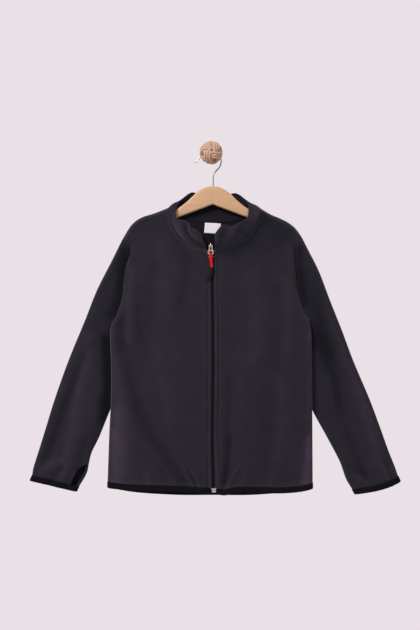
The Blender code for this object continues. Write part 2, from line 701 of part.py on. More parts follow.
def thumb_hole(sleeve, cutters):
    """The slit in the inner seam of the right sleeve, cut through its front layer."""
    top, bottom = np.array(THUMB["top"]), np.array(THUMB["bottom"])
    run = bottom - top
    side = np.array([-run[1], run[0]]) / np.linalg.norm(run)
    fractions = np.linspace(0, 1, 7)
    half = THUMB["width"] / 2 * np.sin(math.pi * fractions) ** 0.7
    one = [top + run * f + side * h for f, h in zip(fractions, half)]
    other = [top + run * f - side * h for f, h in zip(fractions[1:-1], half[1:-1])]
    outline = one + other[::-1]
    shape = bmesh.new()
    rings = []
    for y in (SLEEVE_Y - CLOTH, SLEEVE_Y - 4 * SLEEVE_HALF):
        rings.append([shape.verts.new(Vector((x, y, z)) * MM) for x, z in outline])
    for ring in rings:
        shape.faces.new(ring)
    count = len(outline)
    for i in range(count):
        j = (i + 1) % count
        shape.faces.new((rings[0][i], rings[0][j], rings[1][j], rings[1][i]))
    bmesh.ops.recalc_face_normals(shape, faces=shape.faces)
    mesh = bpy.data.meshes.new("thumb_hole")
    shape.to_mesh(mesh)
    shape.free()
    cut(sleeve, bpy.data.objects.new("thumb_hole", mesh), cutters)


def label(finish, collection):
    """The bare neck label, sewn at the back neck seam and lying on the inside of the back."""
    columns = np.linspace(LABEL["left"], LABEL["right"], 5)
    rows = np.linspace(LABEL["bottom"], LABEL["top"], 4)
    x, z = np.meshgrid(columns, rows)
    x = x + (z - LABEL["top"]) * math.tan(math.radians(LABEL["lean"]))
    inside = back_depth(x, z) - CLOTH - SEAM_GAP
    back = np.stack([x, inside, z], axis=-1)
    wall("neck_label", back, back - np.array([0, LABEL_THICK, 0]), finish, collection)


def hinge_here(piece, hinge):
    """Puts a piece's origin on the hinge without moving its shape."""
    at_hinge = Vector(hinge) * MM
    piece.data.transform(Matrix.Translation(-at_hinge))
    piece.location = at_hinge


def zip_parts(jacket, cutters):
    tape = material("zip_tape_polyester", (0.008, 0.008, 0.01), 0.8)
    nylon = material("zip_coil_nylon", (0.012, 0.012, 0.014), 0.5)
    metal = material("nickel_plated_zinc", (0.72, 0.66, 0.57), 0.25, 1.0)
    red = material("red_rubber", (0.62, 0.02, 0.02), 0.55)
    black = material("black_rubber", (0.01, 0.01, 0.012), 0.6)
    strip("zip_chain", CHAIN_HALF, 0.2, CHAIN_THICK, nylon, jacket)
    strip("zip_tape", TAPE_HALF, CLOTH + 2 * SEAM_GAP, TAPE_THICK, tape, jacket)
    guard_y = zip_y(-200) + CLOTH + TAPE_THICK + 3 * SEAM_GAP + GUARD_THICK / 2
    plate("zip_guard", GUARD, GUARD_THICK, guard_y, tape, jacket)
    face = float(zip_y(SLIDER_TOP - 8)) - SLIDER_CLEAR - SLIDER_THICK
    outline = [(PULL_X + x, SLIDER_TOP + z) for x, z in SLIDER]
    plate("slider", outline, SLIDER_THICK, face + SLIDER_THICK / 2, metal, jacket)
    bar = face - BAIL_REACH
    arch = [(face - SEAM_GAP, BAIL_TOP), (bar + 1.2, BAIL_TOP), (bar, BAIL_TOP - 1.2),
            (bar, BAIL_BOTTOM + 1.2), (bar + 1.2, BAIL_BOTTOM), (face - SEAM_GAP, BAIL_BOTTOM)]
    tube("slider_bail", [(PULL_X, y, z) for y, z in arch], BAIL_R, metal, jacket)
    tab_y = face - TAB_OUT
    outline = [(PULL_X + x, TAB_PIVOT + z) for x, z in TAB]
    tab = plate("pull_tab", outline, TAB_THICK, tab_y, metal, jacket)
    for name, hole in (("tab_slot", TAB_SLOT), ("tab_ring", TAB_RING)):
        middle = np.array([PULL_X, tab_y, TAB_PIVOT + hole["z"]])
        reach = np.array([hole["width"] / 2, TAB_THICK * 2, hole["height"] / 2])
        cut(tab, cutter_box(name, middle - reach, middle + reach), cutters)
    grip = tube("pull_grip", [(x, tab_y, z) for x, z in GRIP], GRIP_R, red, jacket, resolution=3)
    tail = plate("pull_tail", TAIL, TAIL_THICK, tab_y, black, jacket)
    for piece in (tab, grip, tail):
        hinge_here(piece, (PULL_X, tab_y, TAB_PIVOT))
    y = float(zip_y(BOX["top"])) - BINDING_PROUD - 2 * SEAM_GAP
    low = (BOX["x"] - BOX["half"], y - BOX["thick"], BOX["bottom"])
    high = (BOX["x"] + BOX["half"], y, BOX["top"])
    box = cutter_box("zip_box", low, high)
    box.data.materials.append(metal)
    jacket.objects.link(box)
    bevel = box.modifiers.new("rounded", "BEVEL")
    bevel.width = 0.8 * MM
    bevel.segments = 2


def wood_arm(side):
    """Sections of one arm, each (upper x, upper z, lower x, lower z, thickness)."""
    ridge = smooth(SHOULDER[side])
    rows = np.array(WOOD_SECTIONS, float)
    rows[:, (0, 2)] = WOOD_MIDDLE + side * rows[:, (0, 2)]
    carried = rows[:, 1] > WOOD_SECTIONS[0][1]
    rows[carried, 1] += np.interp(side * rows[carried, 0], side * ridge[:, 0], ridge[:, 1])
    return rows


def hanger(jacket, cutters):
    beech = material("beech", (0.62, 0.4, 0.24), 0.45)
    steel = material("steel_wire", (0.62, 0.6, 0.58), 0.3, 1.0)
    rows = np.vstack([wood_arm(RIGHT)[:0:-1], wood_arm(LEFT)])
    shape = bmesh.new()
    rings = []
    for upper_x, upper_z, lower_x, lower_z, thick in rows:
        middle = np.array([(upper_x + lower_x) / 2, RIDGE_Y, (upper_z + lower_z) / 2])
        up = np.array([upper_x - lower_x, 0, upper_z - lower_z])
        tall = np.linalg.norm(up)
        radius = min(WOOD_ROUND, tall / 2.05, thick / 2.05)
        ring = []
        for quarter in range(4):
            corner = ((1, 1), (1, -1), (-1, -1), (-1, 1))[quarter]
            for angle in np.radians([90, 60, 30, 0]) - math.pi / 2 * quarter:
                back = corner[0] * (thick / 2 - radius) + radius * math.cos(angle)
                high = corner[1] * (tall / 2 - radius) + radius * math.sin(angle)
                ring.append(shape.verts.new((middle + up / tall * high + np.array([0, back, 0])) * MM))
        rings.append(ring)
    for one, other in zip(rings, rings[1:]):
        for i in range(len(one)):
            j = (i + 1) % len(one)
            shape.faces.new((one[i], one[j], other[j], other[i]))
    shape.faces.new(rings[0])
    shape.faces.new(rings[-1])
    bmesh.ops.recalc_face_normals(shape, faces=shape.faces)
    wood = from_bmesh("hanger_wood", shape, beech, jacket)
    bottom = WOOD_SECTIONS[0][1] - HOOK_DEPTH
    bore = turned("hook_bore", HOOK_BORE, bottom, -50, 16, None, None, y_axis=False, at_x=HOOK[-1][0])
    cut(wood, bore, cutters)
    route = smooth([(x, RIDGE_Y, z) for x, z in HOOK], steps=2)
    tube("hanger_hook", route, WIRE_R, steel, jacket)


def wall_hook(jacket):
    jute = material("jute_rope", (0.5, 0.33, 0.2), 0.9)
    beech = material("stained_beech", (0.45, 0.28, 0.16), 0.5)
    turned("knob_rosette", ROSETTE_R, 0, -ROSETTE_THICK, 40, beech, jacket)
    turned("knob_stem", STEM_R, -ROSETTE_THICK - SEAM_GAP, BALL_Y + BALL_R + SEAM_GAP, 24, beech, jacket)
    shape = bmesh.new()
    bmesh.ops.create_uvsphere(shape, u_segments=20, v_segments=10, radius=BALL_R * MM)
    bmesh.ops.transform(shape, matrix=Matrix.Rotation(math.pi / 2, 4, "X"), verts=shape.verts)
    bmesh.ops.translate(shape, vec=(0, BALL_Y * MM, 0), verts=shape.verts)
    from_bmesh("knob_ball", shape, jute, jacket)


def main():
    for thing in list(bpy.data.objects):
        bpy.data.objects.remove(thing)
    jacket = new_collection("fleece_jacket")
    cutters = new_collection("cutters")
    fleece = material("fleece", (0.028, 0.024, 0.032), 0.95)
    jersey = material("jersey_binding", (0.006, 0.006, 0.009), 0.85)
    down = np.array([0, 0, -1.0])
    on_seam = {}
    for side, name in ((RIGHT, "right"), (LEFT, "left")):
        points, outwards = front_panel(side)
        on_seam[side] = outwards[-1, : len(NECK_FRONT[side] * COLLAR_STEPS) - 1]
        cloth_wall("front_" + name, points, outwards, CLOTH, fleece, jacket)
        binding("hem_binding_front_" + name, points[0], outwards[0], down[None], jersey, jacket)
        points, outwards = sleeve_grid(side)
        sleeve = cloth_wall("sleeve_" + name, points, outwards, CLOTH, fleece, jacket, True, SLEEVE_GAP)
        if side == RIGHT:
            thumb_hole(sleeve, cutters)
        axis = points[-1] - points[-2]
        axis = axis.mean(0) / np.linalg.norm(axis.mean(0))
        binding("cuff_binding_" + name, points[-1], outwards[-1], axis[None], jersey, jacket, closed=True)
    points, outwards = back_panel()
    cloth_wall("back", points, outwards, CLOTH, fleece, jacket)
    binding("hem_binding_back", points[0], outwards[0], down[None], jersey, jacket)
    tip = len(shoulder_points(RIGHT)) - 1
    points, outwards = collar_grid(joined(on_seam[RIGHT], outwards[-1, tip:-tip], on_seam[LEFT][::-1]))
    thickness = np.full((len(points), 1, 1), COLLAR)
    thickness[0] = CLOTH
    cloth_wall("collar", points, outwards, thickness, fleece, jacket, gap=COLLAR_GAP)
    label(material("label_satin", (0.75, 0.72, 0.74), 0.6), jacket)
    zip_parts(jacket, cutters)
    hanger(jacket, cutters)
    wall_hook(jacket)


main()
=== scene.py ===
"""Looks of a zip-front fleece jacket on a wooden hanger, hung from a rope-ball wall hook.

Tables are in millimetres and the finished meshes in metres, in the frame of the packed model: +X is
the viewer's right, +Z is up and the wall is the plane y = 0. "left" and "right" in names are the
wearer's, so right is at -X.
"""

import math

import bmesh
import bpy
import numpy as np
from mathutils import Matrix, Vector


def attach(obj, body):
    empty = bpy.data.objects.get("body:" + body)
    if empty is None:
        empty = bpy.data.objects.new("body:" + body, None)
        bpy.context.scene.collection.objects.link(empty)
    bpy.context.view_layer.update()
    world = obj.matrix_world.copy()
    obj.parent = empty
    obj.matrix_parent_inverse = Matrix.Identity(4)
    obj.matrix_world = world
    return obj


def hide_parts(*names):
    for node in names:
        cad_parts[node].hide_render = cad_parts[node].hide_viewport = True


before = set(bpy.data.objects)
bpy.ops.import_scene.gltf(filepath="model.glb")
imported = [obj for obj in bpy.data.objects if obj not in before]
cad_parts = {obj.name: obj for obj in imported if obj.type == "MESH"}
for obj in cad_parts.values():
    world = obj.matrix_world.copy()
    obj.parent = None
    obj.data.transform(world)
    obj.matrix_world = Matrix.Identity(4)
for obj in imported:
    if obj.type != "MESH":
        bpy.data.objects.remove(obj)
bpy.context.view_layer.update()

bl_info = {
    "name": "Fleece jacket on a hanger",
    "version": (1, 0, 0),
    "blender": (4, 5, 0),
    "location": "View3D > Sidebar > Jacket",
    "description": "Builds the cloth, zip, hanger and hook of a fleece jacket with their finishes",
    "category": "Object",
}

MM = 0.001
BODY = "jacket_on_hanger"
PULL_BODY = "zip_pull"
RIGHT, LEFT = -1, 1
SIDES = {RIGHT: "right", LEFT: "left"}
DOWN = np.array([0.0, 0.0, -1.0])

# How far pieces stand from the wall
RIDGE_Y = -22.0  # shoulder lines, hanger and wire hook
SIDE_Y = -26.0  # side seams
FRONT_Y = -33.0
CHEST_DEPTH = 14.0  # how much further the chest stands out
BACK_Y = -12.5
BACK_SIDE_Y = -19.5
BACK_HEM_Y = -15.0
SLEEVE_Y = -10.5
TAB_Y = -50.97
BALL_Y = -55.0

# The body's depth. Pairs are the stretch over which it changes, across from the middle or down
CHEST_HALF = 205.0
CHEST_POWER = 1.6  # how fast the chest falls back towards its sides
CHEST_GROWS = (110, 215)
CHEST_SHRINKS = (450, 710)
CHEST_HEM = 0.25  # share of its depth that is gone at the hem
BACK_SIDES = (90, 195)
BACK_SIDES_DOWN = (230, 370)
BACK_HEM_DOWN = (400, 700)

# How the cloth turns at its seams
RIDGE_ROLL = 15.0  # reach of the turn beside a shoulder line
SIDE_ROLL = 8.0  # reach of the turn beside a side seam
ARM_ROLL = 11.0  # reach of the turn beside an armhole
ARM_VALLEY = 8.5  # how far an armhole seam lies behind its front
ARM_VALLEY_DOWN = (0.03, 0.25)  # share of the armhole over which it sinks to that
UNDERARM_RUN = (-45, 10)  # stretch about the underarm where a side seam's turn becomes an armhole's
UNDERARM_CLOSE = 0.07  # share of an armhole over which its front and back close
SIDE_BEND = 3  # power by which a panel's columns straighten away from its side edges
SIDE_LENGTH = 332.0
SLEEVE_LENGTH = 560.0
SLEEVE_HALF = 8.0  # half of a sleeve's depth at the shoulder
CUFF_HALF = 6.8  # half of its depth at the cuff
SLEEVE_FULL = 9.0  # how much fuller the upper arm is in front
SLEEVE_FULL_BACK = 0.15  # share of that at the back
SLEEVE_BACK_RISE = 28  # how much higher the front's creases lie on a sleeve's back
SLEEVE_BACK_DRAPE = 0.8  # share of their height that they have there
SLEEVE_HELD = (0.28, 0.16)  # share of its length, at its outer and inner edge, that the armhole shapes
SLEEVE_WIDE = 50.0  # half of its usual width, for the spacing of its columns
CUFF_BOW = {RIGHT: 0.0, LEFT: 6.0}  # how far the middle of a cuff hangs below its corners
INNER_LAG = 2.6  # power by which a sleeve's inner edge starts later than its outer one
COLLAR_THICK = 3.2
COLLAR_BULGE = 3.0
COLLAR_FRONT = (36, 46)  # stretch of depth over which its creases begin
COLLAR_PAINTED_LIGHT_FRONT = (20, 34)  # the same for its painted light and shade
GROOVE = 0.8  # depth of the groove beside a raised strip
FACING_WIDENS = 0.45  # share by which the left front's facing is wider at the hem
FACING_WIDENS_DOWN = (590, 700)
EDGE_TURN = 1.3  # how far a front's edge turns in beside the zip
EDGE_ROLL = 1.8
HEM_TIP = 2.4  # how far a front's hem tips out over its binding
HEM_TIP_REACH = 14

# Spacing of the cloth's grids
LONG_STEP = 4.0
SEAM_STEP = 3.6
NECK_STEP = 3.4

# Painted light and shade: how much lighter or darker the fleece's colour is made at each point, from -1 to
# 1, for the light on crests and edges and the shade in hollows and beside seams
CREASE_SHADING = 0.125  # painted light on crests and painted shade in hollows, for each millimetre of a crease's height
STRIP_SHADING = 0.13  # painted light on a raised strip and painted shade in its groove, for each millimetre of its height
# painted highlight along a front's hem
HEM_HIGHLIGHT = 0.3
# painted highlight along the collar's rim
RIM_HIGHLIGHT = 0.2
SLEEVE_BACK_SHADING = 0.35  # share of the front's painted light and shade on a sleeve's back
# least and most painted light and shade on each kind of panel
PAINTED_SHADING_RANGE = dict(front=(-0.6, 0.95), back=(-0.4, 0.4), sleeve=(-1.0, 0.45), collar=(-0.45, 0.5))
PILE_SHADES = (0.72, 1.28)  # darkest and lightest share of the colour among the tufts
PAINTED_LIGHT_MOST = 2.5  # how much lighter the lightest painted light is than the usual colour
# Tones of the darkest painted shade and the lightest painted light, and of those between, all as shares of
# the lightest colour
PAINTED_SHADE_DARKEST_TONE = (0.036, 0.042, 0.048, 1)
PAINTED_LIGHT_LIGHTEST_TONE = (1.0, 0.93, 0.96, 1)
PAINTED_SHADING_TONES = ((0.25, (0.18, 0.2, 0.22, 1)), (0.5, (0.4, 0.4, 0.4, 1)), (0.75, (0.6, 0.56, 0.58, 1)))

# The zip and its pull
ZIP_EDGE = 3.4  # from the zip's middle to a front's edge
ZIP_FOOT = -702.0
TEETH_TOP = -203.0
EDGE_HEIGHTS = [-600, -450, -350, -260, -228, -214]  # where the fronts' edges follow the zip
STITCH_HEIGHTS = (-699.0, -214.0)
STITCH_EDGE = 6.4  # from a front's edge to its topstitching
STITCH_RISE = 0.55  # from a front to its topstitching's middle
STITCH_HALVES = (0.36, 0.26)  # half width and half height
STITCH_SHARES = (0.14, 0.5, 0.86)  # head, middle and tail along its share of the run
TOOTH_X = 1.05  # from the zip's middle to a tooth's
TOOTH_DEPTH = 1.0  # how far its middle lies behind the fronts
TOOTH_SIZE = (0.52, 0.8, 3.3)  # half height, half depth and width
TOOTH_LEAN = 0.12  # in radians
SLIDER_TOP = -187.0
SLIDER_RISE = 3.4  # from the fronts to its face
SLIDER_THICK = 3.0
BRIDGE_RADIUS = 0.9
PULL_X = -0.8
TAB_PIVOT = -193.6
TAB_THICK = 1.6
GRIP_RADIUS = 3.0
LOOP_Z = -212.4
LOOP_HALVES = (2.1, 3.3)  # half depth and half height of a turn of the grip's cord
LOOP_SHIFTS = (-1.5, 1.5)
CORD_RADIUS = 1.15
KNOT = (-0.4, TAB_Y - 0.8, -217.9)
KNOT_HALVES = (5.5, 2.7, 3.3)
TAIL_THICK = 3.0

# The rope ball: three strands side by side that go round it and swing up and down
BALL_RADIUS = 21.7  # to the strands' middles
CORE_RADIUS = 21.8
ROUNDS = 3
SWINGS = 4
SWING = 65  # in degrees from the ball's equator
ROPE_START = 1.1  # in radians
ROPE_WEAVE = 1.3  # how far the rope passes over and under itself
STRAND_GAP = 2.04  # from strand to strand, in their radii
BALL_TILT = (-6, 5)  # in degrees about x and z

# The folded binding
BAND_OUT = 0.75  # its face, from the cloth's
BAND_IN = -2.65  # its back
BAND_TOP = 0.5  # how far it laps over the cloth's edge
BAND_WAVES = ((0.16, 4.1, 0.0), (0.12, 2.3, 1.0), (0.1, 9.7, 0.0))  # height, run to a radian, start

# The stage, in metres. Each lamp has its place and its size
CAMERA = (-0.0023, -3.165, -0.3396)
LAMPS = {
    "key": ((-1.55, -1.9, 1.45), 0.9),
    "fill": ((1.9, -2.1, 1.25), 1.4),
    "back": ((0.9, 2.3, 1.6), 1.4),
}
LAMP_AIM = (0, 0, -0.35)
LAMP_TINT = (1.0, 0.985, 0.97)
FLOOR_RADIUS = 1.35
FLOOR_Z = -1.32
# The surroundings' brightness at heights from 0, straight down, to 1, straight up
SURROUND = ((0.17, 0.15), (0.24, 1.0), (0.64, 1.0), (0.74, 0.4))

# Outlines seen from the front, (x, z)
ZIP_LINE = [(0.5, -190), (1.5, -215), (3.3, -300), (4.2, -450), (3.4, -520), (3.0, -587), (4.6, -645),
            (6.4, ZIP_FOOT)]
SHOULDER = {
    RIGHT: [(-91, -113.5), (-122, -125.5), (-143, -132), (-158.5, -140.5), (-170, -152), (-188, -181)],
    LEFT: [(108.5, -117), (126, -127), (147, -136), (164, -145), (178, -156.5), (191, -174)],
}
NECK_FRONT = {
    RIGHT: [(-9.5, -202), (-33, -197), (-55, -184.5), (-75, -159), (-83.5, -136), (-91, -113.5)],
    LEFT: [(8, -198), (30, -195.5), (53.5, -187.5), (70, -178), (86, -159), (108.5, -117)],
}
NECK_BACK = [(-91, -113.5), (-74, -130), (-40, -141), (4, -144), (50, -141), (88, -131), (108.5, -117)]
ARM_FRONT = {
    RIGHT: [(-188, -181), (-172, -188), (-170, -205), (-176.5, -226), (-183, -262), (-187, -300),
            (-197, -333), (-206, -352), (-212.3, -367)],
    LEFT: [(191, -174), (179.5, -180), (176.5, -195), (176.5, -225), (178.5, -255), (182.5, -288),
           (200, -340), (207.6, -351), (209.5, -362)],
}
ARM_BACK = {
    RIGHT: [(-188, -181), (-176, -190), (-172, -215), (-174, -262), (-184, -305), (-196, -333),
            (-206, -352), (-212.3, -367)],
    LEFT: [(191, -174), (182, -182), (177, -208), (177, -255), (186, -308), (200, -340), (207.6, -351),
           (209.5, -362)],
}
SIDE = {
    RIGHT: [(-212.3, -367), (-213.4, -379), (-212.2, -405), (-210.5, -450), (-211, -512),
            (-214.5, -580), (-218.5, -692)],
    LEFT: [(209.5, -362), (211.6, -374), (212, -400), (213.5, -530), (214.5, -694)],
}
HEM_FRONT = {
    RIGHT: [(-218.5, -692), (-175, -696), (-131, -697.5), (-51, -699.5), (2, -703.5)],
    LEFT: [(214.5, -694), (188, -699.5), (148, -702.5), (100, -701), (51.5, -701), (27, -705.5),
           (9.5, -704)],
}
HEM_BACK = [(-218.5, -692), (-160, -702), (-70, -708), (5, -708), (85, -708), (150, -703), (214.5, -694)]
SLEEVE_OUTER = {
    RIGHT: [(-188, -181), (-210, -225), (-242.5, -288), (-267.5, -351), (-302, -435), (-332, -519),
            (-351.5, -582), (-364.5, -624), (-377.5, -666), (-379.5, -679.5)],
    LEFT: [(191, -174), (206.5, -204), (228, -246), (252.5, -309), (277.5, -372), (301, -435),
           (336.5, -519), (360, -582), (375, -624), (391.5, -666), (396.5, -681)],
}
SLEEVE_INNER = {
    RIGHT: [(-211, -367), (-210.5, -370.5), (-210.5, -380), (-208, -393), (-200, -416), (-187, -447),
            (-191, -487), (-213.5, -540), (-238, -600), (-253.5, -632), (-258.5, -652), (-262.5, -672),
            (-271, -689), (-280, -703)],
    LEFT: [(209, -362), (208.5, -365.5), (208.5, -376), (206.5, -389), (201, -412), (189, -446),
           (192, -486), (214, -540), (247, -601), (273, -651), (286.5, -688), (299, -709)],
}
RIM_RIGHT = [(-21, -55, -170), (-34, -60, -161), (-45, -59, -155), (-49, -55, -147.5),
             (-59, -53, -142.5), (-73, -46, -138), (-76, -35, -120)]
RIM_BACK = [(-64, -22, -98), (-43, -14.5, -81), (-24, -12, -85), (4, -11.5, -88), (33, -12, -86),
            (55, -14.5, -83), (77, -22, -102)]
RIM_LEFT = [(79, -42, -133), (71, -50, -142.5), (57, -55, -149), (39, -57, -156.5), (26, -60, -152.5),
            (14, -60, -163), (7, -57, -172)]
THUMB = [(-260.8, -655.5), (-271.5, -659), (-281, -666.5), (-287.5, -675.5), (-292.5, -685.5),
         (-296.5, -695), (-295, -699), (-285.5, -700), (-281, -695), (-275.5, -687.5), (-270.5, -680),
         (-267, -671), (-263, -661)]
# The label's edges, its angles in degrees, and how far it stands off, curls and waves
LABEL = dict(left=-13, right=21, top=-145, bottom=-167, lean=4.5, tilt=3.2, tilt_x=3.5, off=0.8, curl=1.2,
             wave=0.4, wave_run=9.0)
# Halves of the pull's tab and the slider, from the middle of the pivot and of the slider's top
TAB_HALF = [(0, 1.5), (2.6, 1.2), (3.8, 0), (4.1, -3.5), (4.2, -7.5), (5.3, -10.6), (6.3, -13), (6.4, -16),
            (5.4, -18.4), (3.2, -19.5), (0, -19.7)]
SLIDER_HALF = [(0, 0), (2.2, -0.4), (3.8, -2.5), (4.6, -6), (5.7, -9), (5.8, -13.6), (4.6, -15.8), (0, -16)]
TAIL = [(-1.6, -239.6), (4.6, -239.6), (4.8, -246), (1.6, -255), (-2.2, -265.5), (-8.8, -268),
        (-8.4, -262), (-4.6, -253), (-2.0, -246)]
HOOK = [(-31.7, -17.5), (-27.5, -11), (-21.5, -3), (-12, 4.6), (-1, 8), (9.5, 5.2), (18, -3.2),
        (21.5, -14.5), (18.5, -26), (11.5, -34.5), (6.4, -41), (4.6, -49), (4.6, -58), (4.6, -68),
        (4.6, -81)]
GRIP_ROD = [(-0.4, -214.5), (-0.1, -222), (0.8, -231), (1.2, -238.2)]
# A near-black plate on the slider's face behind the tab's upper hole, the painted shadow in the slot: (x, z)
SLOT_SHADOW = [(-1.6, -197.5), (1.6, -197.5), (1.6, -203.4), (-1.6, -203.4)]
# The slider's bridge from the side: (y from the slider's face, z)
BRIDGE = [(1.2, -189.6), (-3.2, -189.6), (-4.6, -191.2), (-4.6, -196), (-3.2, -197.6), (1.2, -197.6)]
# Holes of the pull's tab: z from its pivot, half width, half height, and squareness
TAB_HOLES = [(-5.6, 1.5, 4.1, 4), (-15.0, 3.7, 2.6, 2.4)]
# Profiles of the wall hook's turned parts: (radius, y)
HOOK_BASE = [(0, 0), (15.4, 0), (16, -0.6), (16, -3.6), (15.2, -5.2), (13, -6), (0, -6)]
HOOK_STEM = [(0, -5.9), (7.4, -5.9), (6.6, -7.2), (6, -9.5), (5.6, -20), (6, -29), (6.2, -33), (0, -33)]

# Sections of one arm of the hanger, from the middle outwards: distance from the middle and height of
# the upper edge, the same of the lower edge, and thickness. Where the arm carries a shoulder, its
# upper height is measured from the shoulder line
WOOD_MIDDLE = 3.6
WOOD_SECTIONS = [
    (0, -67.6, 0, -106.4, 10), (10, -68.4, 8, -109.4, 10), (20, -71.6, 17, -112.9, 10),
    (31, -78, 28, -117, 10), (42, -88, 40, -121.6, 10), (53, -98.5, 51, -125.8, 10),
    (66, -109, 63, -130.3, 10), (78, -117, 75, -134.9, 10), (92, -124.5, 90, -140.6, 10),
    (116, -130, 112, -148.5, 10), (138, -3.2, 134, -158, 9.4), (148, -3.4, 145, -163, 9),
    (157, -5.0, 153, -166.5, 8.4), (161.5, -155.5, 159, -166, 7), (163, -158.5, 162, -162.5, 3),
]
WOOD_EDGE = 4.4  # radius of the arms' round edges
WOOD_POINT = 12  # reach of the point in which the arms' undersides meet
WOOD_SLOPE = 0.38  # fall of the underside towards that point

# Wide folds: middle, half length and half width, height outwards, and lean from upright in degrees
FRONT_FOLDS = [
    dict(x=55, z=-655, length=42, width=15, height=4.0, lean=-32),
    dict(x=196, z=-660, length=34, width=13, height=3.5, lean=-28),
    dict(x=-112, z=-330, length=85, width=24, height=-3.0, lean=8),
    dict(x=-60, z=-560, length=120, width=34, height=2.5, lean=-4),
    dict(x=120, z=-300, length=90, width=26, height=-3.0, lean=-7),
    dict(x=105, z=-520, length=110, width=36, height=2.5, lean=5),
]
# Raised strips beside a front's edges: height, the reach at which it starts and ends falling, and the
# reach and half width of the groove beyond
ZIP_STRIP = (1.5, 5.6, 7.6, 7.6, 1.4)
NECK_STRIP = (1.1, 8.5, 11, 11.4, 1.8)
SHOULDER_STRIP = (0.9, 8.5, 10.5, 11, 1.8)
# Soft creases, placed one by one: route from the front, half width, height outwards
FRONT_CREASES = [
    ([(-192, -352), (-189, -410), (-176, -465), (-157, -528), (-128, -590), (-92, -642), (-56, -692)], 14,
     -2.9),
    ([(-198, -440), (-191, -520), (-184, -600), (-180, -670)], 20, 3.0),
    ([(-139, -290), (-134, -350), (-141, -425)], 14, -1.0),
    ([(-46, -205), (-51, -235), (-56, -275), (-70, -325)], 13, -1.8),
    ([(-97, -185), (-101, -250), (-92, -325)], 18, 1.3),
    ([(-119, -238), (-126, -285)], 12, -1.1),
    ([(-167, -245), (-171, -310), (-172, -392)], 9, 2.6),
    ([(-153, -325), (-152, -395)], 8, -1.8),
    ([(-110, -420), (-96, -500), (-82, -560)], 16, 1.6),
    ([(38, -470), (37, -540), (35, -600), (28, -690)], 8, -1.6),
    ([(36, -580), (34, -640), (28, -695)], 7, -1.1),
    ([(62, -430), (60, -540), (50, -640)], 17, 1.2),
    ([(113, -505), (119, -580), (112, -650)], 17, -1.0),
    ([(136, -285), (141, -345), (131, -440)], 15, -1.1),
    ([(158, -270), (163, -340), (158, -440)], 11, 2.0),
    ([(88, -260), (96, -350), (90, -430)], 18, 2.0),
    ([(150, -480), (150, -560), (140, -640)], 14, 2.2),
    ([(60, -655), (46, -680), (31, -706)], 3.6, 2.6),
    ([(40, -600), (37, -650), (26, -702)], 6, -2.4),
    ([(76, -672), (63, -700)], 5, 1.7),
    ([(70, -690), (82, -662)], 4, -1.2),
    ([(-57, -662), (-40, -697)], 4, 2.2),
    ([(-50, -664), (-31, -697)], 3.6, -2.0),
    ([(-38, -670), (-23, -700)], 3.6, 1.8),
    ([(-92, -693), (-106, -664)], 6, -1.8),
    ([(-128, -694), (-136, -668)], 6, 1.6),
    ([(124, -698), (132, -672)], 6, 1.6),
]
BACK_CREASES = [
    ([(-185, -330), (-150, -450), (-110, -600)], 12, -3.0),
    ([(185, -340), (150, -470), (120, -640)], 12, -3.0),
    ([(-70, -230), (-78, -330), (-66, -440)], 13, -2.4),
    ([(64, -220), (76, -330), (72, -420)], 13, -2.4),
    ([(-20, -300), (-26, -460), (-15, -640)], 17, 2.2),
    ([(140, -240), (146, -360)], 10, 2.4),
    ([(-140, -240), (-150, -380)], 10, 2.4),
    ([(40, -520), (34, -600), (44, -690)], 10, -2.2),
    ([(-60, -692), (-52, -650)], 7, -2.0),
]
# Painted light and shade on the fronts, lighter along lit side edges and crests and darker in the shade
# below the collar and beside the armholes: route from the front, half width, painted shading
FRONT_PAINTED_LIGHT = [
    ([(-206, -372), (-205, -480), (-207, -600), (-210, -692)], 9, 0.3),
    ([(-196, -545), (-194, -620), (-192, -692)], 17, 0.42),
    ([(208, -380), (208, -500), (208, -600), (209, -694)], 6.5, 0.32),
    ([(210, -605), (207, -645), (200, -690)], 13, 1.1),
    ([(-207, -590), (-206, -645), (-202, -694)], 12, 0.3),
    ([(15, -225), (16, -400), (18, -550), (18, -690)], 5, 0.18),
    ([(-14, -260), (-12, -450), (-10, -620)], 6, 0.07),
    ([(14, -198), (48, -193), (72, -183), (88, -163), (104, -130)], 16, -0.5),
    ([(112, -140), (134, -152), (156, -166)], 22, -0.36),
    ([(40, -212), (90, -196), (130, -184)], 22, -0.24),
    ([(-150, -150), (-90, -165), (-70, -200)], 30, -0.14),
    ([(168, -200), (170, -260), (173, -300)], 7, 0.2),
    ([(183, -290), (198, -338), (206, -366), (208, -390)], 4.5, 0.4),
    ([(-179, -200), (-178, -216)], 8, -0.3),
]
# Painted light and shade on the sleeves, darkest in the shade beside the armholes and lighter on lit crests:
# route from the front, half width, painted shading
SLEEVE_PAINTED_LIGHT = {
    RIGHT: [
        ([(-183, -206), (-190, -262), (-195, -300), (-208, -340)], 11, -0.7),
        ([(-222, -392), (-220, -450), (-220, -520), (-224, -560)], 13, -0.98),
        ([(-232, -520), (-240, -570), (-252, -620)], 10, -0.3),
        ([(-196, -190), (-215, -260), (-232, -325), (-240, -350)], 32, -0.32),
        ([(-262, -465), (-271, -520), (-286, -590)], 15, 0.12),
        ([(-325, -648), (-345, -652)], 10, 0.35),
    ],
    LEFT: [
        ([(186, -200), (187, -235), (189, -270), (196, -315)], 9, -0.7),
        ([(201, -262), (214, -312), (229, -365), (244, -420)], 23, -0.32),
        ([(231, -390), (247, -440), (260, -490), (268, -530)], 15, -0.26),
        ([(212, -380), (216, -400)], 12, -0.35),
        ([(300, -440), (322, -520), (345, -590)], 10, 0.2),
        ([(360, -655), (388, -672)], 9, 0.3),
    ],
}
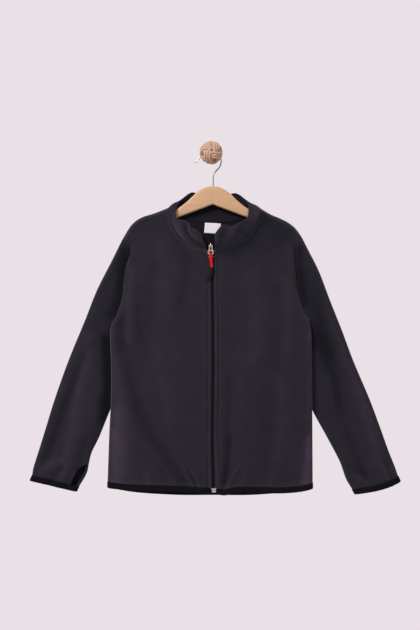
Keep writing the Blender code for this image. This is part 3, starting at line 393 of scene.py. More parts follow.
SLEEVE_CREASES = {
    RIGHT: [
        ([(-252, -395), (-274, -490), (-290, -580), (-305, -650)], 12, 4.2),
        ([(-249, -398), (-268, -435), (-300, -510), (-350, -646)], 10, -3.3),
        ([(-250, -330), (-290, -420), (-330, -530)], 9, 1.8),
        ([(-262, -600), (-282, -668)], 8, -2.2),
        ([(-356, -672), (-330, -650)], 6, 2.6),
        ([(-338, -690), (-318, -664)], 5, -2.2),
        ([(-318, -690), (-300, -660)], 6, 2.4),
    ],
    LEFT: [
        ([(212, -300), (240, -395), (262, -480), (274, -560)], 19, -1.8),
        ([(262, -345), (296, -440), (330, -540)], 14, 3.0),
        ([(288, -590), (304, -632), (322, -672)], 9, -2.4),
        ([(330, -540), (344, -600), (350, -650)], 13, 2.8),
        ([(358, -648), (374, -686)], 4, 3.0),
        ([(368, -650), (384, -684)], 4.5, -2.6),
        ([(302, -680), (338, -698)], 4, 2.4),
        ([(290, -655), (330, -684)], 6, -1.8),
        ([(245, -470), (262, -540)], 7, 1.8),
    ],
}
COLLAR_CREASES = [
    ([(-54, -150), (-52, -162), (-44, -176), (-29, -189), (-12, -199)], 4.5, -3.2),
    ([(-44, -153), (-34, -170), (-20, -184)], 6, 2.6),
    ([(-66, -150), (-63, -164), (-52, -178)], 6, 2.2),
    ([(-28, -166), (-21, -180)], 4, -1.6),
    ([(32, -158), (24, -176)], 7, -2.0),
    ([(48, -156), (44, -172)], 8, 1.8),
    ([(70, -146), (60, -166)], 7, -1.8),
    ([(12, -176), (13, -192)], 5, 1.4),
]
# Painted highlights on the collar's outer face, where it leans out into the light: route from the front,
# half width, painted light
COLLAR_PAINTED_LIGHT = [
    ([(-92, -112), (-84, -138), (-68, -167), (-48, -190)], 5, 0.36),
    ([(84, -104), (94, -120), (88, -146), (75, -166)], 5, 0.3),
    ([(101, -113), (97, -128)], 4, 0.3),
]
BACK_FOLDS = [
    dict(x=-95, z=-330, length=110, width=28, height=2.5, lean=10),
    dict(x=90, z=-350, length=120, width=30, height=2.5, lean=-9),
    dict(x=10, z=-560, length=120, width=40, height=-2.5, lean=3),
]


# ---------------------------------------------------------------- curves and surfaces


def smooth(points, steps=12):
    """A dense line through the points, on a centripetal Catmull-Rom curve."""
    p = np.array(points, float)
    p = np.vstack([2 * p[0] - p[1], p, 2 * p[-1] - p[-2]])
    line = []
    for a, b, c, d in zip(p, p[1:], p[2:], p[3:]):
        ta = np.linalg.norm(b - a) ** 0.5
        tb = ta + np.linalg.norm(c - b) ** 0.5
        tc = tb + np.linalg.norm(d - c) ** 0.5
        for t in np.linspace(ta, tb, steps, endpoint=False):
            ab = a + (b - a) * t / ta
            bc = b + (c - b) * (t - ta) / (tb - ta)
            cd = c + (d - c) * (t - tb) / (tc - tb)
            abc = ab + (bc - ab) * t / tb
            bcd = bc + (cd - bc) * (t - ta) / (tc - ta)
            line.append(abc + (bcd - abc) * (t - ta) / (tb - ta))
    return np.array(line + [p[-2]])


def joined(*lines):
    """Lines that follow one another, as one line."""
    return np.vstack([lines[0]] + [line[1:] for line in lines[1:]])


def run_of(line):
    """Distance from the start of a line to each of its points."""
    return np.concatenate([[0], np.cumsum(np.linalg.norm(np.diff(line, axis=0), axis=1))])


def fractions(line):
    """How far along its length each point of a line is."""
    run = run_of(line)
    return run / run[-1]


def at(line, where):
    """Points at these fractions of a line's length."""
    run = fractions(line)
    return np.stack([np.interp(where, run, line[:, i]) for i in range(line.shape[1])], axis=-1)


def patch(bottom, top, start, end):
    """A grid between four rows of points, straight in the middle and bent beside start and end."""
    u = ((fractions(bottom) + fractions(top)) / 2)[None, :, None]
    v = ((fractions(start) + fractions(end)) / 2)[:, None, None]
    straight = (1 - v) * bottom[None] + v * top[None]
    start_bend = start[:, None] - (1 - v) * bottom[0] - v * top[0]
    end_bend = end[:, None] - (1 - v) * bottom[-1] - v * top[-1]
    return straight + (1 - u) ** SIDE_BEND * start_bend + u**SIDE_BEND * end_bend


def away(points, line):
    """Distance from each (x, z) point to a line."""
    flat = points.reshape(-1, 2)
    nearest = np.full(len(flat), 1e9)
    for a, b in zip(line, line[1:]):
        run = b - a
        along = np.clip((flat - a) @ run / (run @ run), 0, 1)
        nearest = np.minimum(nearest, np.linalg.norm(flat - a - along[:, None] * run, axis=1))
    return nearest.reshape(points.shape[:-1])


def roll(distance, radius):
    """0 on a fold and 1 beyond its radius, along a quarter of an ellipse."""
    rest = 1 - np.clip(distance / radius, 0, 1)
    return np.sqrt(1 - rest**2)


def ease(value, start, end):
    """0 before start and 1 after end, with soft ends."""
    t = np.clip((value - start) / (end - start), 0, 1)
    return t * t * (3 - 2 * t)


def bump(value, middle, half):
    """A soft ridge of height 1 at middle."""
    return np.exp(-(((value - middle) / half) ** 2))


def folds(x, z, table):
    """Height of the folds of a table at (x, z)."""
    height = np.zeros_like(x)
    for f in table:
        lean = math.radians(f["lean"])
        dx, dz = x - f["x"], z - f["z"]
        along = dx * math.sin(lean) + dz * math.cos(lean)
        across = dx * math.cos(lean) - dz * math.sin(lean)
        height += f["height"] * np.exp(-((along / f["length"]) ** 2) - (across / f["width"]) ** 2)
    return height


def creases(x, z, table):
    """Height of the soft creases of a table at (x, z)."""
    flat = np.stack([x, z], axis=-1)
    return sum(rise * bump(away(flat, smooth(route)), 0, half) for route, half, rise in table)


def strip(distance, height, start, end, groove, half):
    """A raised strip beside an edge with a groove beyond it, from the distance to the edge."""
    return height * (1 - ease(distance, start, end)) - GROOVE * bump(distance, groove, half)


def faded(height, *fades):
    """A height that dies out towards seams. Each fade is a distance and where it starts and ends."""
    for distance, start, end in fades:
        height = height * ease(distance, start, end)
    return height


def spread(length, step, start_fine=0.0, end_fine=0.0, fine=1.3):
    """Fractions from 0 to 1 of a length, finer over a stretch at its start and its end."""
    marks = [0.0]
    while marks[-1] < length:
        here = marks[-1]
        near = here < start_fine or length - here < end_fine
        marks.append(here + (fine if near else step))
    marks = np.array(marks)
    return marks / marks[-1]


def normals(points, facing):
    """Unit normals of a grid of points. In the middle of its first row they look towards facing."""
    n = np.cross(np.gradient(points, axis=1), np.gradient(points, axis=0))
    n /= np.maximum(np.linalg.norm(n, axis=-1, keepdims=True), 1e-9)
    return n * np.sign(n[0, points.shape[1] // 2] @ facing)


def circle(count):
    """Angles all round a circle."""
    return np.linspace(0, 2 * math.pi, count, endpoint=False)


# ---------------------------------------------------------------- meshes


def link(name, shape, finish, smooth_angle=50):
    """A finished mesh of a bmesh, at the origin."""
    mesh = bpy.data.meshes.new(name)
    shape.to_mesh(mesh)
    shape.free()
    mesh.materials.append(finish)
    mesh.shade_smooth()
    mesh.set_sharp_from_angle(angle=math.radians(smooth_angle))
    made = bpy.data.objects.new(name, mesh)
    bpy.context.scene.collection.objects.link(made)
    return made


def grid_shape(points, around=False, along=False, facing=None, nap=None, inside=None):
    """A bmesh sheet over a grid of points in millimetres, with a cloth map in metres.

    around joins the last column to the first, along the last row to the first, and facing is the
    direction that the middle of the sheet looks in. nap is how much lighter or darker the
    colour is painted at each point as light and shade, and inside the row from which the second
    finish is used.
    """
    if around and nap is not None:
        nap = np.concatenate([nap, nap[:, :1]], axis=1)
    if along and nap is not None:
        nap = np.concatenate([nap, nap[:1]], axis=0)
    if around:
        points = np.concatenate([points, points[:, :1]], axis=1)
    if along:
        points = np.concatenate([points, points[:1]], axis=0)
    rows, columns = points.shape[:2]
    middle = points[rows // 2]
    across_run = run_of(middle) * MM
    along_run = run_of(points[:, columns // 2]) * MM
    shape = bmesh.new()
    bmesh.ops.create_grid(shape, x_segments=columns - 1, y_segments=rows - 1, size=1)
    place = np.array([v.co[:2] for v in shape.verts])
    j = np.rint((place[:, 0] + 1) / 2 * (columns - 1)).astype(int)
    i = np.rint((place[:, 1] + 1) / 2 * (rows - 1)).astype(int)
    spots = points[i, j] * MM
    for vert, spot in zip(shape.verts, spots):
        vert.co = spot
    # keeps each point's painted light and shade for the fleece's finish
    if nap is not None:
        lay = shape.verts.layers.float.new("nap")
        for vert, value in zip(shape.verts, nap[i, j]):
            vert[lay] = value
    cloth_map = shape.loops.layers.uv.new("cloth")
    for face in shape.faces:
        if inside is not None and min(i[vert.index] for vert in face.verts) >= inside:
            face.material_index = 1
        for loop in face.loops:
            here = loop.vert.index
            loop[cloth_map].uv = (across_run[j[here]], along_run[i[here]])
    if facing is not None:
        shape.normal_update()
        total = sum((face.normal * face.calc_area() for face in shape.faces), Vector())
        if total.dot(Vector(facing)) < 0:
            bmesh.ops.reverse_faces(shape, faces=shape.faces)
    if around or along:
        bmesh.ops.remove_doubles(shape, verts=shape.verts, dist=1e-6)
        bmesh.ops.recalc_face_normals(shape, faces=shape.faces)
    return shape


def close_ends(shape):
    """Fills a bmesh's open ends and points its faces outwards."""
    bmesh.ops.holes_fill(shape, edges=[e for e in shape.edges if e.is_boundary], sides=0)
    bmesh.ops.recalc_face_normals(shape, faces=shape.faces)


def thicken(piece, thickness, inside=None):
    """Gives a sheet its wall behind its face, with a finish of its own inside."""
    wall = piece.modifiers.new("wall", "SOLIDIFY")
    if inside is not None:
        piece.data.materials.append(inside)
        wall.material_offset = 1
    wall.thickness = thickness
    wall.offset = -1.0
    wall.use_even_offset = True
    wall.thickness_clamp = 1.0
    return piece


def turned(name, profile, finish, steps=64):
    """A piece turned about the y axis from a profile of (radius, y) in millimetres."""
    shape = bmesh.new()
    verts = [shape.verts.new((r * MM, y * MM, 0)) for r, y in profile]
    for a, b in zip(verts, verts[1:]):
        shape.edges.new((a, b))
    bmesh.ops.spin(
        shape, geom=shape.verts[:] + shape.edges[:], cent=(0, 0, 0), axis=(0, 1, 0),
        angle=2 * math.pi, steps=steps, use_merge=True,
    )
    bmesh.ops.remove_doubles(shape, verts=shape.verts, dist=1e-7)
    bmesh.ops.recalc_face_normals(shape, faces=shape.faces)
    return link(name, shape, finish, 35)


def tube_points(route, radius, sides, closed):
    """A grid of points round a route: a row for each of its points, with no twist between rows."""
    route = np.asarray(route, float)
    if closed:
        run = np.roll(route, -1, 0) - np.roll(route, 1, 0)
    else:
        run = np.gradient(route, axis=0)
    run /= np.linalg.norm(run, axis=1, keepdims=True)
    side = np.cross(run[0], (0.31, 0.42, 0.85))
    rows = []
    radius = np.broadcast_to(radius, len(route))
    sides_along = []
    for tangent in run:
        side = side - tangent * (side @ tangent)
        side = side / np.linalg.norm(side)
        sides_along.append(side)
    turn = 0.0
    if closed:
        last = sides_along[-1] - run[0] * (sides_along[-1] @ run[0])
        last /= np.linalg.norm(last)
        up = np.cross(run[0], sides_along[0])
        turn = math.atan2(last @ up, last @ sides_along[0])
    for n, (point, tangent, side, r) in enumerate(zip(route, run, sides_along, radius)):
        up = np.cross(tangent, side)
        a = circle(sides)[:, None] - turn * n / len(route)
        rows.append(point + r * (np.cos(a) * side + np.sin(a) * up))
    return np.array(rows)


def tube(name, route, radius, finish, sides, closed=False):
    """A wire or rod along a route in millimetres, with round ends where it is open."""
    route = np.asarray(route, float)
    radii = np.full(len(route), float(radius))
    if not closed:
        caps = []
        for end, inner in ((0, 1), (-1, -2)):
            out = route[end] - route[inner]
            out = out / np.linalg.norm(out)
            caps.append([(route[end] + out * radius * math.sin(a), radius * math.cos(a))
                         for a in np.radians([30, 55, 75, 88])])
        first, last = caps
        route = np.vstack([[p for p, _ in first[::-1]], route, [p for p, _ in last]])
        radii = np.concatenate([[r for _, r in first[::-1]], radii, [r for _, r in last]])
    shape = grid_shape(tube_points(route, radii, sides, closed), around=True, along=closed)
    if not closed:
        close_ends(shape)
    return link(name, shape, finish)


def mirrored(half, x, z):
    """A whole outline from its half right of a middle, put at (x, z)."""
    half = smooth([(x + across, z + up) for across, up in half], steps=4)
    return [*half, *[(2 * x - across, up) for across, up in half[::-1][1:-1]]]


def rod(shape, place, segments):
    """Adds a rod of radius and length 1 along z, before its place is applied."""
    bmesh.ops.create_cone(shape, cap_ends=True, segments=segments, radius1=1, radius2=1, depth=1,
                          matrix=place)


def plate_shape(outline, thickness, y, edge=0.0, segments=3, holes=()):
    """A bmesh of a flat (x, z) outline with holes, extruded and centred on y, with rounded edges."""
    shape = bmesh.new()
    for loop in (outline, *holes):
        verts = [shape.verts.new((x * MM, (y - thickness / 2) * MM, z * MM)) for x, z in loop]
        for a, b in zip(verts, verts[1:] + verts[:1]):
            shape.edges.new((a, b))
    bmesh.ops.triangle_fill(shape, use_beauty=True, use_dissolve=False, edges=shape.edges[:],
                            normal=(0, -1, 0))
    pulled = bmesh.ops.extrude_face_region(shape, geom=shape.faces[:])["geom"]
    moved = [v for v in pulled if isinstance(v, bmesh.types.BMVert)]
    bmesh.ops.translate(shape, vec=(0, thickness * MM, 0), verts=moved)
    bmesh.ops.recalc_face_normals(shape, faces=shape.faces)
    if edge:
        sharp = [e for e in shape.edges if e.calc_face_angle() > math.radians(40)]
        bmesh.ops.bevel(
            shape, geom=sharp, offset=edge * MM, segments=segments, profile=0.5, affect="EDGES",
            material=-1, clamp_overlap=True,
        )
    return shape


def finish_piece(piece, body, slot, *nodes):
    """Says what a piece rides on and hides the solids it stands for.

    slot is not used.
    """
    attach(piece, body)
    if nodes:
        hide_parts(*nodes)
    return piece


# ---------------------------------------------------------------- shape of the jacket


def over_ridge(flat, y, ridge):
    """A panel's depth, rounded back to the shoulder line."""
    return RIDGE_Y + (y - RIDGE_Y) * roll(away(flat, ridge), RIDGE_ROLL)


def front_depth(x, z):
    """How far a front stands from the wall away from its edges."""
    across = np.cos(np.clip(x / CHEST_HALF, -1, 1) * math.pi / 2) ** CHEST_POWER
    down = ease(-z, *CHEST_GROWS) * (1 - CHEST_HEM * ease(-z, *CHEST_SHRINKS))
    return FRONT_Y - CHEST_DEPTH * across * down - folds(x, z, FRONT_FOLDS)


def back_depth(x, z):
    """How far the back stands from the wall away from its edges."""
    side = ease(np.abs(x), *BACK_SIDES) * ease(-z, *BACK_SIDES_DOWN)
    centre = BACK_Y + (BACK_HEM_Y - BACK_Y) * ease(-z, *BACK_HEM_DOWN)
    return centre + (BACK_SIDE_Y - centre) * side + folds(x, z, BACK_FOLDS)


def zip_middle(z):
    """x of the middle of the zip at this height."""
    line = smooth(ZIP_LINE)
    return np.interp(-np.asarray(z, float), -line[:, 1], line[:, 0])


def zip_side(side):
    """A front's edge beside the zip, from the hem to the neck."""
    along = list(zip(zip_middle(EDGE_HEIGHTS) + side * ZIP_EDGE, EDGE_HEIGHTS))
    return smooth([HEM_FRONT[side][-1]] + along + [NECK_FRONT[side][0]])


def armhole(side, table, depth, valley, down):
    """(x, y, z) down an armhole seam at these fractions. It lies in a valley."""
    flat = at(smooth(table[side]), down)
    y = over_ridge(flat, depth(flat[:, 0], flat[:, 1]), smooth(SHOULDER[side]))
    y = y + valley * ease(down, *ARM_VALLEY_DOWN)
    y = SIDE_Y + (y - SIDE_Y) * roll(1 - down, UNDERARM_CLOSE)
    return np.stack([flat[:, 0], y, flat[:, 1]], axis=-1)


def side_edge(side, table, depth, valley):
    """(x, y, z) up a panel's side from the hem, and the row of its underarm."""
    seam = at(smooth(SIDE[side])[::-1], spread(SIDE_LENGTH, LONG_STEP, start_fine=14))
    seam = np.stack([seam[:, 0], np.full(len(seam), SIDE_Y), seam[:, 1]], axis=-1)
    down = 1 - spread(run_of(smooth(table[side]))[-1], SEAM_STEP, end_fine=26)
    return joined(seam, armhole(side, table, depth, valley, down)), len(seam) - 1


def rounded(flat, depth, ridges, edges):
    """y over a panel: its depth, rounded to its shoulder lines and then to its side edges."""
    y = depth(flat[..., 0], flat[..., 1])
    for ridge in ridges:
        y = over_ridge(flat, y, ridge)
    for edge, underarm in edges:
        run = run_of(edge[:, ::2])
        radius = np.interp(run - run[underarm], UNDERARM_RUN, (SIDE_ROLL, ARM_ROLL))[:, None]
        seam_y = edge[:, 1][:, None]
        y = seam_y + (y - seam_y) * roll(away(flat, edge[:, ::2]), radius)
    return y


def shoulder_line(side):
    """A shoulder line from the neck outwards, at the spacing of the grids."""
    ridge = smooth(SHOULDER[side])
    return at(ridge, spread(run_of(ridge)[-1], SEAM_STEP, end_fine=12, fine=1.5))


def front_points(side):
    """The grid of one front: columns from the zip to the side, rows from the hem to the shoulder.

    It comes with the painted light and shade at each of its points, as the other grids of fleece do.
    """
    ridge = smooth(SHOULDER[side])
    edge, underarm = side_edge(side, ARM_FRONT, front_depth, ARM_VALLEY)
    neck = smooth(NECK_FRONT[side])
    zip_fine = at(neck, spread(run_of(neck)[-1], NECK_STEP, start_fine=13, fine=1.1))
    top = joined(zip_fine, shoulder_line(side))
    bottom = at(smooth(HEM_FRONT[side])[::-1], fractions(top))
    start = at(zip_side(side), fractions(edge[:, ::2]))
    flat = patch(bottom, top, start, edge[:, ::2])
    x, z = flat[..., 0], flat[..., 1]
    from_zip, from_side, from_neck, from_ridge, from_hem = (
        away(flat, line) for line in (zip_side(side), edge[:, ::2], neck, ridge, bottom)
    )
    widening = FACING_WIDENS if side == LEFT else 0
    facing = from_zip / (1 + widening * ease(-z, *FACING_WIDENS_DOWN))
    relief = strip(facing, *ZIP_STRIP) + strip(from_neck, *NECK_STRIP) + strip(from_ridge, *SHOULDER_STRIP)
    relief = relief - EDGE_TURN * (1 - roll(from_zip, EDGE_ROLL))
    drape = faded(creases(x, z, FRONT_CREASES), (from_zip, 8, 16), (from_side, 2, 16),
                  (from_neck, 12, 24), (from_ridge, 12, 30))
    tip = HEM_TIP * (1 - ease(from_hem, 0, HEM_TIP_REACH))
    tip = faded(tip, (from_zip, 6, 20), (from_side, 1, 12))
    y = rounded(flat, front_depth, [ridge], [(edge, underarm)])
    y = y - faded(relief, (from_side, 0, 4)) - drape - tip
    # painted light and shade: lighter on the drapes' crests, the raised strips and the lit side edges, with
    # a painted highlight along the hem, and darker in hollows, grooves and the shade below the collar
    nap = CREASE_SHADING * drape + creases(x, z, FRONT_PAINTED_LIGHT) + STRIP_SHADING * relief
    nap = nap + HEM_HIGHLIGHT * (1 - ease(from_hem, 0, 8))
    return np.stack([x, y, z], axis=-1), np.clip(nap, *PAINTED_SHADING_RANGE["front"])


def back_points():
    """The grid of the back: columns from right to left, rows from the hem to the shoulders."""
    ridges = [smooth(SHOULDER[side]) for side in (RIGHT, LEFT)]
    right, underarm = side_edge(RIGHT, ARM_BACK, back_depth, 0)
    left, left_underarm = side_edge(LEFT, ARM_BACK, back_depth, 0)
    # the left edge takes the right one's rows, with its underarm in the same one
    rows = fractions(right)
    low = rows[: underarm + 1] / rows[underarm]
    high = (rows[underarm:] - rows[underarm]) / (1 - rows[underarm])
    left = joined(at(left[: left_underarm + 1], low), at(left[left_underarm:], high))
    neck = smooth(NECK_BACK)
    neck = at(neck, spread(run_of(neck)[-1], NECK_STEP))
    top = joined(shoulder_line(RIGHT)[::-1], neck, shoulder_line(LEFT))
    bottom = at(smooth(HEM_BACK), fractions(top))
    flat = patch(bottom, top, right[:, ::2], left[:, ::2])
    x, z = flat[..., 0], flat[..., 1]
    drape = faded(creases(x, z, BACK_CREASES), (away(flat, right[:, ::2]), 3, 20),
                  (away(flat, left[:, ::2]), 3, 20), (-z, 175, 230))
    y = rounded(flat, back_depth, ridges, [(right, underarm), (left, underarm)]) + drape
    # painted light on the drapes' crests and painted shade in their hollows
    return np.stack([x, y, z], axis=-1), np.clip(CREASE_SHADING * drape, *PAINTED_SHADING_RANGE["back"])


def sleeve_points(side):
    """The grid of a sleeve: columns down its front from outer to inner edge and up its back."""
    # fractions across the sleeve, closer where it rounds its edges, and then round its ring
    turn = 1 - np.cos(np.linspace(math.pi / 2, 0, 8))
    flat_part = np.linspace(0, SLEEVE_WIDE - SLEEVE_HALF, 20)[:-1]
    half = np.concatenate([flat_part, SLEEVE_WIDE - SLEEVE_HALF * turn]) / SLEEVE_WIDE
    across = np.concatenate([(1 - half[::-1]) / 2, (1 + half[1:]) / 2])
    ring = np.concatenate([across, across[-2:0:-1]])
    is_front = np.arange(len(ring)) < len(across)
    down = spread(SLEEVE_LENGTH, LONG_STEP, start_fine=40, end_fine=64, fine=2.2)[:, None]
    starts = at(smooth(SLEEVE_OUTER[side]), down[:, 0])[:, None]
    chord = at(smooth(SLEEVE_INNER[side]), down[:, 0] ** INNER_LAG)[:, None] - starts
    flat = starts + chord * ring[None, :, None]
    # the cuff's end hangs in a bow
    axis = (flat[-1] - flat[-12]).mean(0)
    bow = CUFF_BOW[side] * np.sin(math.pi * ring**0.8) * ease(down, 0.72, 1.0)
    flat = flat + bow[..., None] * axis / np.linalg.norm(axis)
    x, z = flat[..., 0], flat[..., 1]
    half_depth = SLEEVE_HALF + (CUFF_HALF - SLEEVE_HALF) * down
    from_edge = np.minimum(ring, 1 - ring)[None] * np.linalg.norm(chord, axis=-1)
    full = SLEEVE_FULL * np.sin(math.pi * np.clip(ring, 0, 1))[None] ** 0.8
    full = full * ease(down, 0, 0.1) * (1 - ease(down, 0.14, 0.6))
    full = np.where(is_front, full, SLEEVE_FULL_BACK * full)
    drape = np.where(is_front, creases(x, z, SLEEVE_CREASES[side]),
                     SLEEVE_BACK_DRAPE * creases(x, z - SLEEVE_BACK_RISE, SLEEVE_CREASES[side]))
    drape = faded(drape, (from_edge, 2, 16), (down, 0.1, 0.24))
    out = half_depth * roll(from_edge, half_depth) + drape + full
    y = SLEEVE_Y + np.where(is_front, -1, 1) * out
    hanging = np.stack([x, y, z], axis=-1)
    # its head follows the armhole
    front = armhole(side, ARM_FRONT, front_depth, ARM_VALLEY, across)
    back = armhole(side, ARM_BACK, back_depth, 0, across)
    seam = np.vstack([front, back[-2:0:-1]])
    held = 1 - ease(down / np.interp(ring, (0, 1), SLEEVE_HELD)[None], 0, 1)
    points = hanging + held[..., None] * (seam - hanging[0])[None]
    # painted light and shade: darkest in the shade beside the armhole, lighter on lit crests and darker in
    # the creases' hollows, weaker on the back
    lay = creases(points[..., 0], points[..., 2], SLEEVE_PAINTED_LIGHT[side])
    nap = CREASE_SHADING * drape + np.where(is_front, lay, SLEEVE_BACK_SHADING * lay)
    return points, np.clip(nap, *PAINTED_SHADING_RANGE["sleeve"])


def neck_seam():
    """The seam that carries the collar, (x, y, z) from the right front edge round the back."""
    parts = []
    for depth, table in (
        (front_depth, NECK_FRONT[RIGHT]),
        (back_depth, NECK_BACK),
        (front_depth, NECK_FRONT[LEFT][::-1]),
    ):
        flat = smooth(table)
        y = depth(flat[:, 0], flat[:, 1])
        for side in (RIGHT, LEFT):
            y = over_ridge(flat, y, smooth(SHOULDER[side]))
        parts.append(np.stack([flat[:, 0], y, flat[:, 1]], axis=-1))
    return joined(*parts)


def collar_points():
    """The collar's outer face: columns round the neck, rows from seam to rim."""
    seam = neck_seam()
    whole = smooth(RIM_RIGHT + RIM_BACK + RIM_LEFT)
    # where the fronts and the back begin and end in the rim and in the seam, which match in turn
    per = (len(whole) - 1) // (len(RIM_RIGHT + RIM_BACK + RIM_LEFT) - 1)
    ends = [0, len(RIM_RIGHT) * per, (len(RIM_RIGHT + RIM_BACK) - 1) * per, len(whole) - 1]
    per = (len(seam) - 1) // (len(NECK_FRONT[RIGHT] + NECK_BACK + NECK_FRONT[LEFT]) - 3)
    stops = [0, (len(NECK_FRONT[RIGHT]) - 1) * per]
    stops += [stops[1] + (len(NECK_BACK) - 1) * per, len(seam) - 1]
    rim = joined(*(at(whole[a: b + 1], np.linspace(0, 1, d - c + 1))
                   for a, b, c, d in zip(ends, ends[1:], stops, stops[1:])))
    rows = np.linspace(0, 1, 26)[:, None, None]
    points = seam[None] + (rim - seam)[None] * rows
    outwards = normals(points, (0, 1, 0))
    points = points + outwards * COLLAR_BULGE * np.sin(math.pi * rows)
    in_front = ease(-points[..., 1], *COLLAR_FRONT) * np.sin(math.pi * rows[..., 0]) ** 0.5
    x, z = points[..., 0], points[..., 2]
    lift = creases(x, z, COLLAR_CREASES) * in_front
    # painted light on the creases' crests, on the outer face's lit streaks and along the rim, and painted
    # shade in the hollows
    nap = CREASE_SHADING * lift + creases(x, z, COLLAR_PAINTED_LIGHT) * ease(-points[..., 1], *COLLAR_PAINTED_LIGHT_FRONT)
    nap = nap + RIM_HIGHLIGHT * ease(rows[..., 0], 0.88, 1.0)
    return points + outwards * lift[..., None], np.clip(nap, *PAINTED_SHADING_RANGE["collar"])


# ---------------------------------------------------------------- finishes


def linear(hex_colour):
    """An sRGB hex colour as linear red, green and blue."""
    parts = [int(hex_colour[i:i + 2], 16) / 255 for i in (1, 3, 5)]
    return tuple(c / 12.92 if c <= 0.04045 else ((c + 0.055) / 1.055) ** 2.4 for c in parts)


def shaded(colour, factor):
    """A colour made darker or lighter, and opaque."""
    return tuple(min(1.0, c * factor) for c in colour[:3]) + (1.0,)


def add(tree, kind, inputs, **settings):
    """Adds a node, sets what it is given, and links the inputs that are sockets."""
    node = tree.nodes.new(kind)
    for name, value in settings.items():
        setattr(node, name, value)
    for name, value in inputs.items():
        if isinstance(value, bpy.types.NodeSocket):
            tree.links.new(value, node.inputs[name])
        else:
            node.inputs[name].default_value = value
    return node


def new_finish(name, **constants):
    """A material with its shader's constants set on its own sockets.

    Returns it with its node tree, its shader and the outputs of its texture coordinates.
    """
    made = bpy.data.materials.new(name)
    made.use_nodes = True
    tree = made.node_tree
    shader = tree.nodes["Principled BSDF"]
    for socket, value in constants.items():
        shader.inputs[socket.replace("_", " ")].default_value = value
    return made, tree, shader, add(tree, "ShaderNodeTexCoord", {}).outputs


def summed(tree, first, second, low, high):
    """The sum of two patterns, as it is and as 0 at low to 1 at high."""
    total = add(tree, "ShaderNodeMath", {0: first, 1: second}, operation="ADD")
    share = add(tree, "ShaderNodeMapRange", {"Value": total.outputs[0], "From Min": low, "From Max": high})
    return total.outputs[0], share.outputs["Result"]


def pattern_surface(tree, shader, colour, shades, relief=None, dulled=None):
    """Shades a surface along a pattern, and raises and dulls it along the same or another one.

    shades is a pattern with the darkest and the lightest share of the colour, relief one with its
    strength and its depth in millimetres, and dulled one with the least and the most roughness.
    """
    pattern, *shares = shades
    tone = add(tree, "ShaderNodeValToRGB", {"Fac": pattern})
    for end, share in zip(tone.color_ramp.elements, shares):
        end.color = shaded(colour, share)
    tree.links.new(tone.outputs["Color"], shader.inputs["Base Color"])
    if relief:
        pattern, strength, depth = relief
        raised = add(tree, "ShaderNodeBump", {"Height": pattern, "Strength": strength,
                                              "Distance": depth * MM})
        tree.links.new(raised.outputs["Normal"], shader.inputs["Normal"])
    if dulled:
        pattern, least, most = dulled
        dull = add(tree, "ShaderNodeMapRange", {"Value": pattern, "To Min": least, "To Max": most})
        tree.links.new(dull.outputs["Result"], shader.inputs["Roughness"])
    return tone.outputs["Color"]


def microfleece(name, colour):
    """Brushed polyester microfleece: a short matt pile that lightens at grazing angles. Its colour also
    carries each point's painted light and shade.
    """
    made, tree, shader, place = new_finish(
        name, Roughness=0.92, Specular_IOR_Level=0.1, Sheen_Weight=0.2, Sheen_Roughness=0.5,
        Sheen_Tint=(0.62, 0.56, 0.68, 1),
    )
    # tufts of about 1.6 mm, drawn at that size because single fibres are too fine to show
    tufts = add(tree, "ShaderNodeTexNoise", {"Vector": place["Object"], "Scale": 620.0, "Detail": 3.0,
                                             "Roughness": 0.65})
    # brushed patches a few centimetres across
    brushed = add(tree, "ShaderNodeTexNoise", {"Vector": place["Object"], "Scale": 38.0, "Detail": 3.0,
                                               "Roughness": 0.6})
    # faint wales of the knit ground along the cloth's length, about 3 mm apart
    along = add(tree, "ShaderNodeMapping", {"Vector": place["UV"], "Scale": (330.0, 40.0, 1.0)})
    wales = add(tree, "ShaderNodeTexNoise", {"Vector": along.outputs["Vector"], "Scale": 1.0, "Detail": 1.0})
    mixed = add(tree, "ShaderNodeMath", {0: brushed.outputs["Fac"], 1: 0.45, 2: tufts.outputs["Fac"]},
                operation="MULTIPLY_ADD")
    mixed = add(tree, "ShaderNodeMath", {0: wales.outputs["Fac"], 1: 0.15, 2: mixed.outputs[0]},
                operation="MULTIPLY_ADD")
    pile = add(tree, "ShaderNodeMapRange", {"Value": mixed.outputs[0], "From Min": 0.5, "From Max": 1.1})
    shades = [PAINTED_LIGHT_MOST * share for share in PILE_SHADES]
    tone = pattern_surface(tree, shader, colour, (pile.outputs["Result"], *shades),
                           relief=(tufts.outputs["Fac"], 0.5, 0.7))
    # painted light and shade: the colour is made lighter along the drapes' crests and lit edges and darker
    # in their hollows and beside seams, from each point's nap
    lay = add(tree, "ShaderNodeAttribute", {}, attribute_name="nap")
    lay = add(tree, "ShaderNodeMapRange", {"Value": lay.outputs["Fac"], "From Min": -1.0, "From Max": 1.0})
    lay = add(tree, "ShaderNodeValToRGB", {"Fac": lay.outputs["Result"]})
    lay.color_ramp.elements[0].color = PAINTED_SHADE_DARKEST_TONE
    lay.color_ramp.elements[1].color = PAINTED_LIGHT_LIGHTEST_TONE
    for position, shade in PAINTED_SHADING_TONES:
        lay.color_ramp.elements.new(position).color = shade
    with_painted_shading = add(tree, "ShaderNodeVectorMath", {0: tone, 1: lay.outputs["Color"]}, operation="MULTIPLY")
    tree.links.new(with_painted_shading.outputs["Vector"], shader.inputs["Base Color"])
    return made


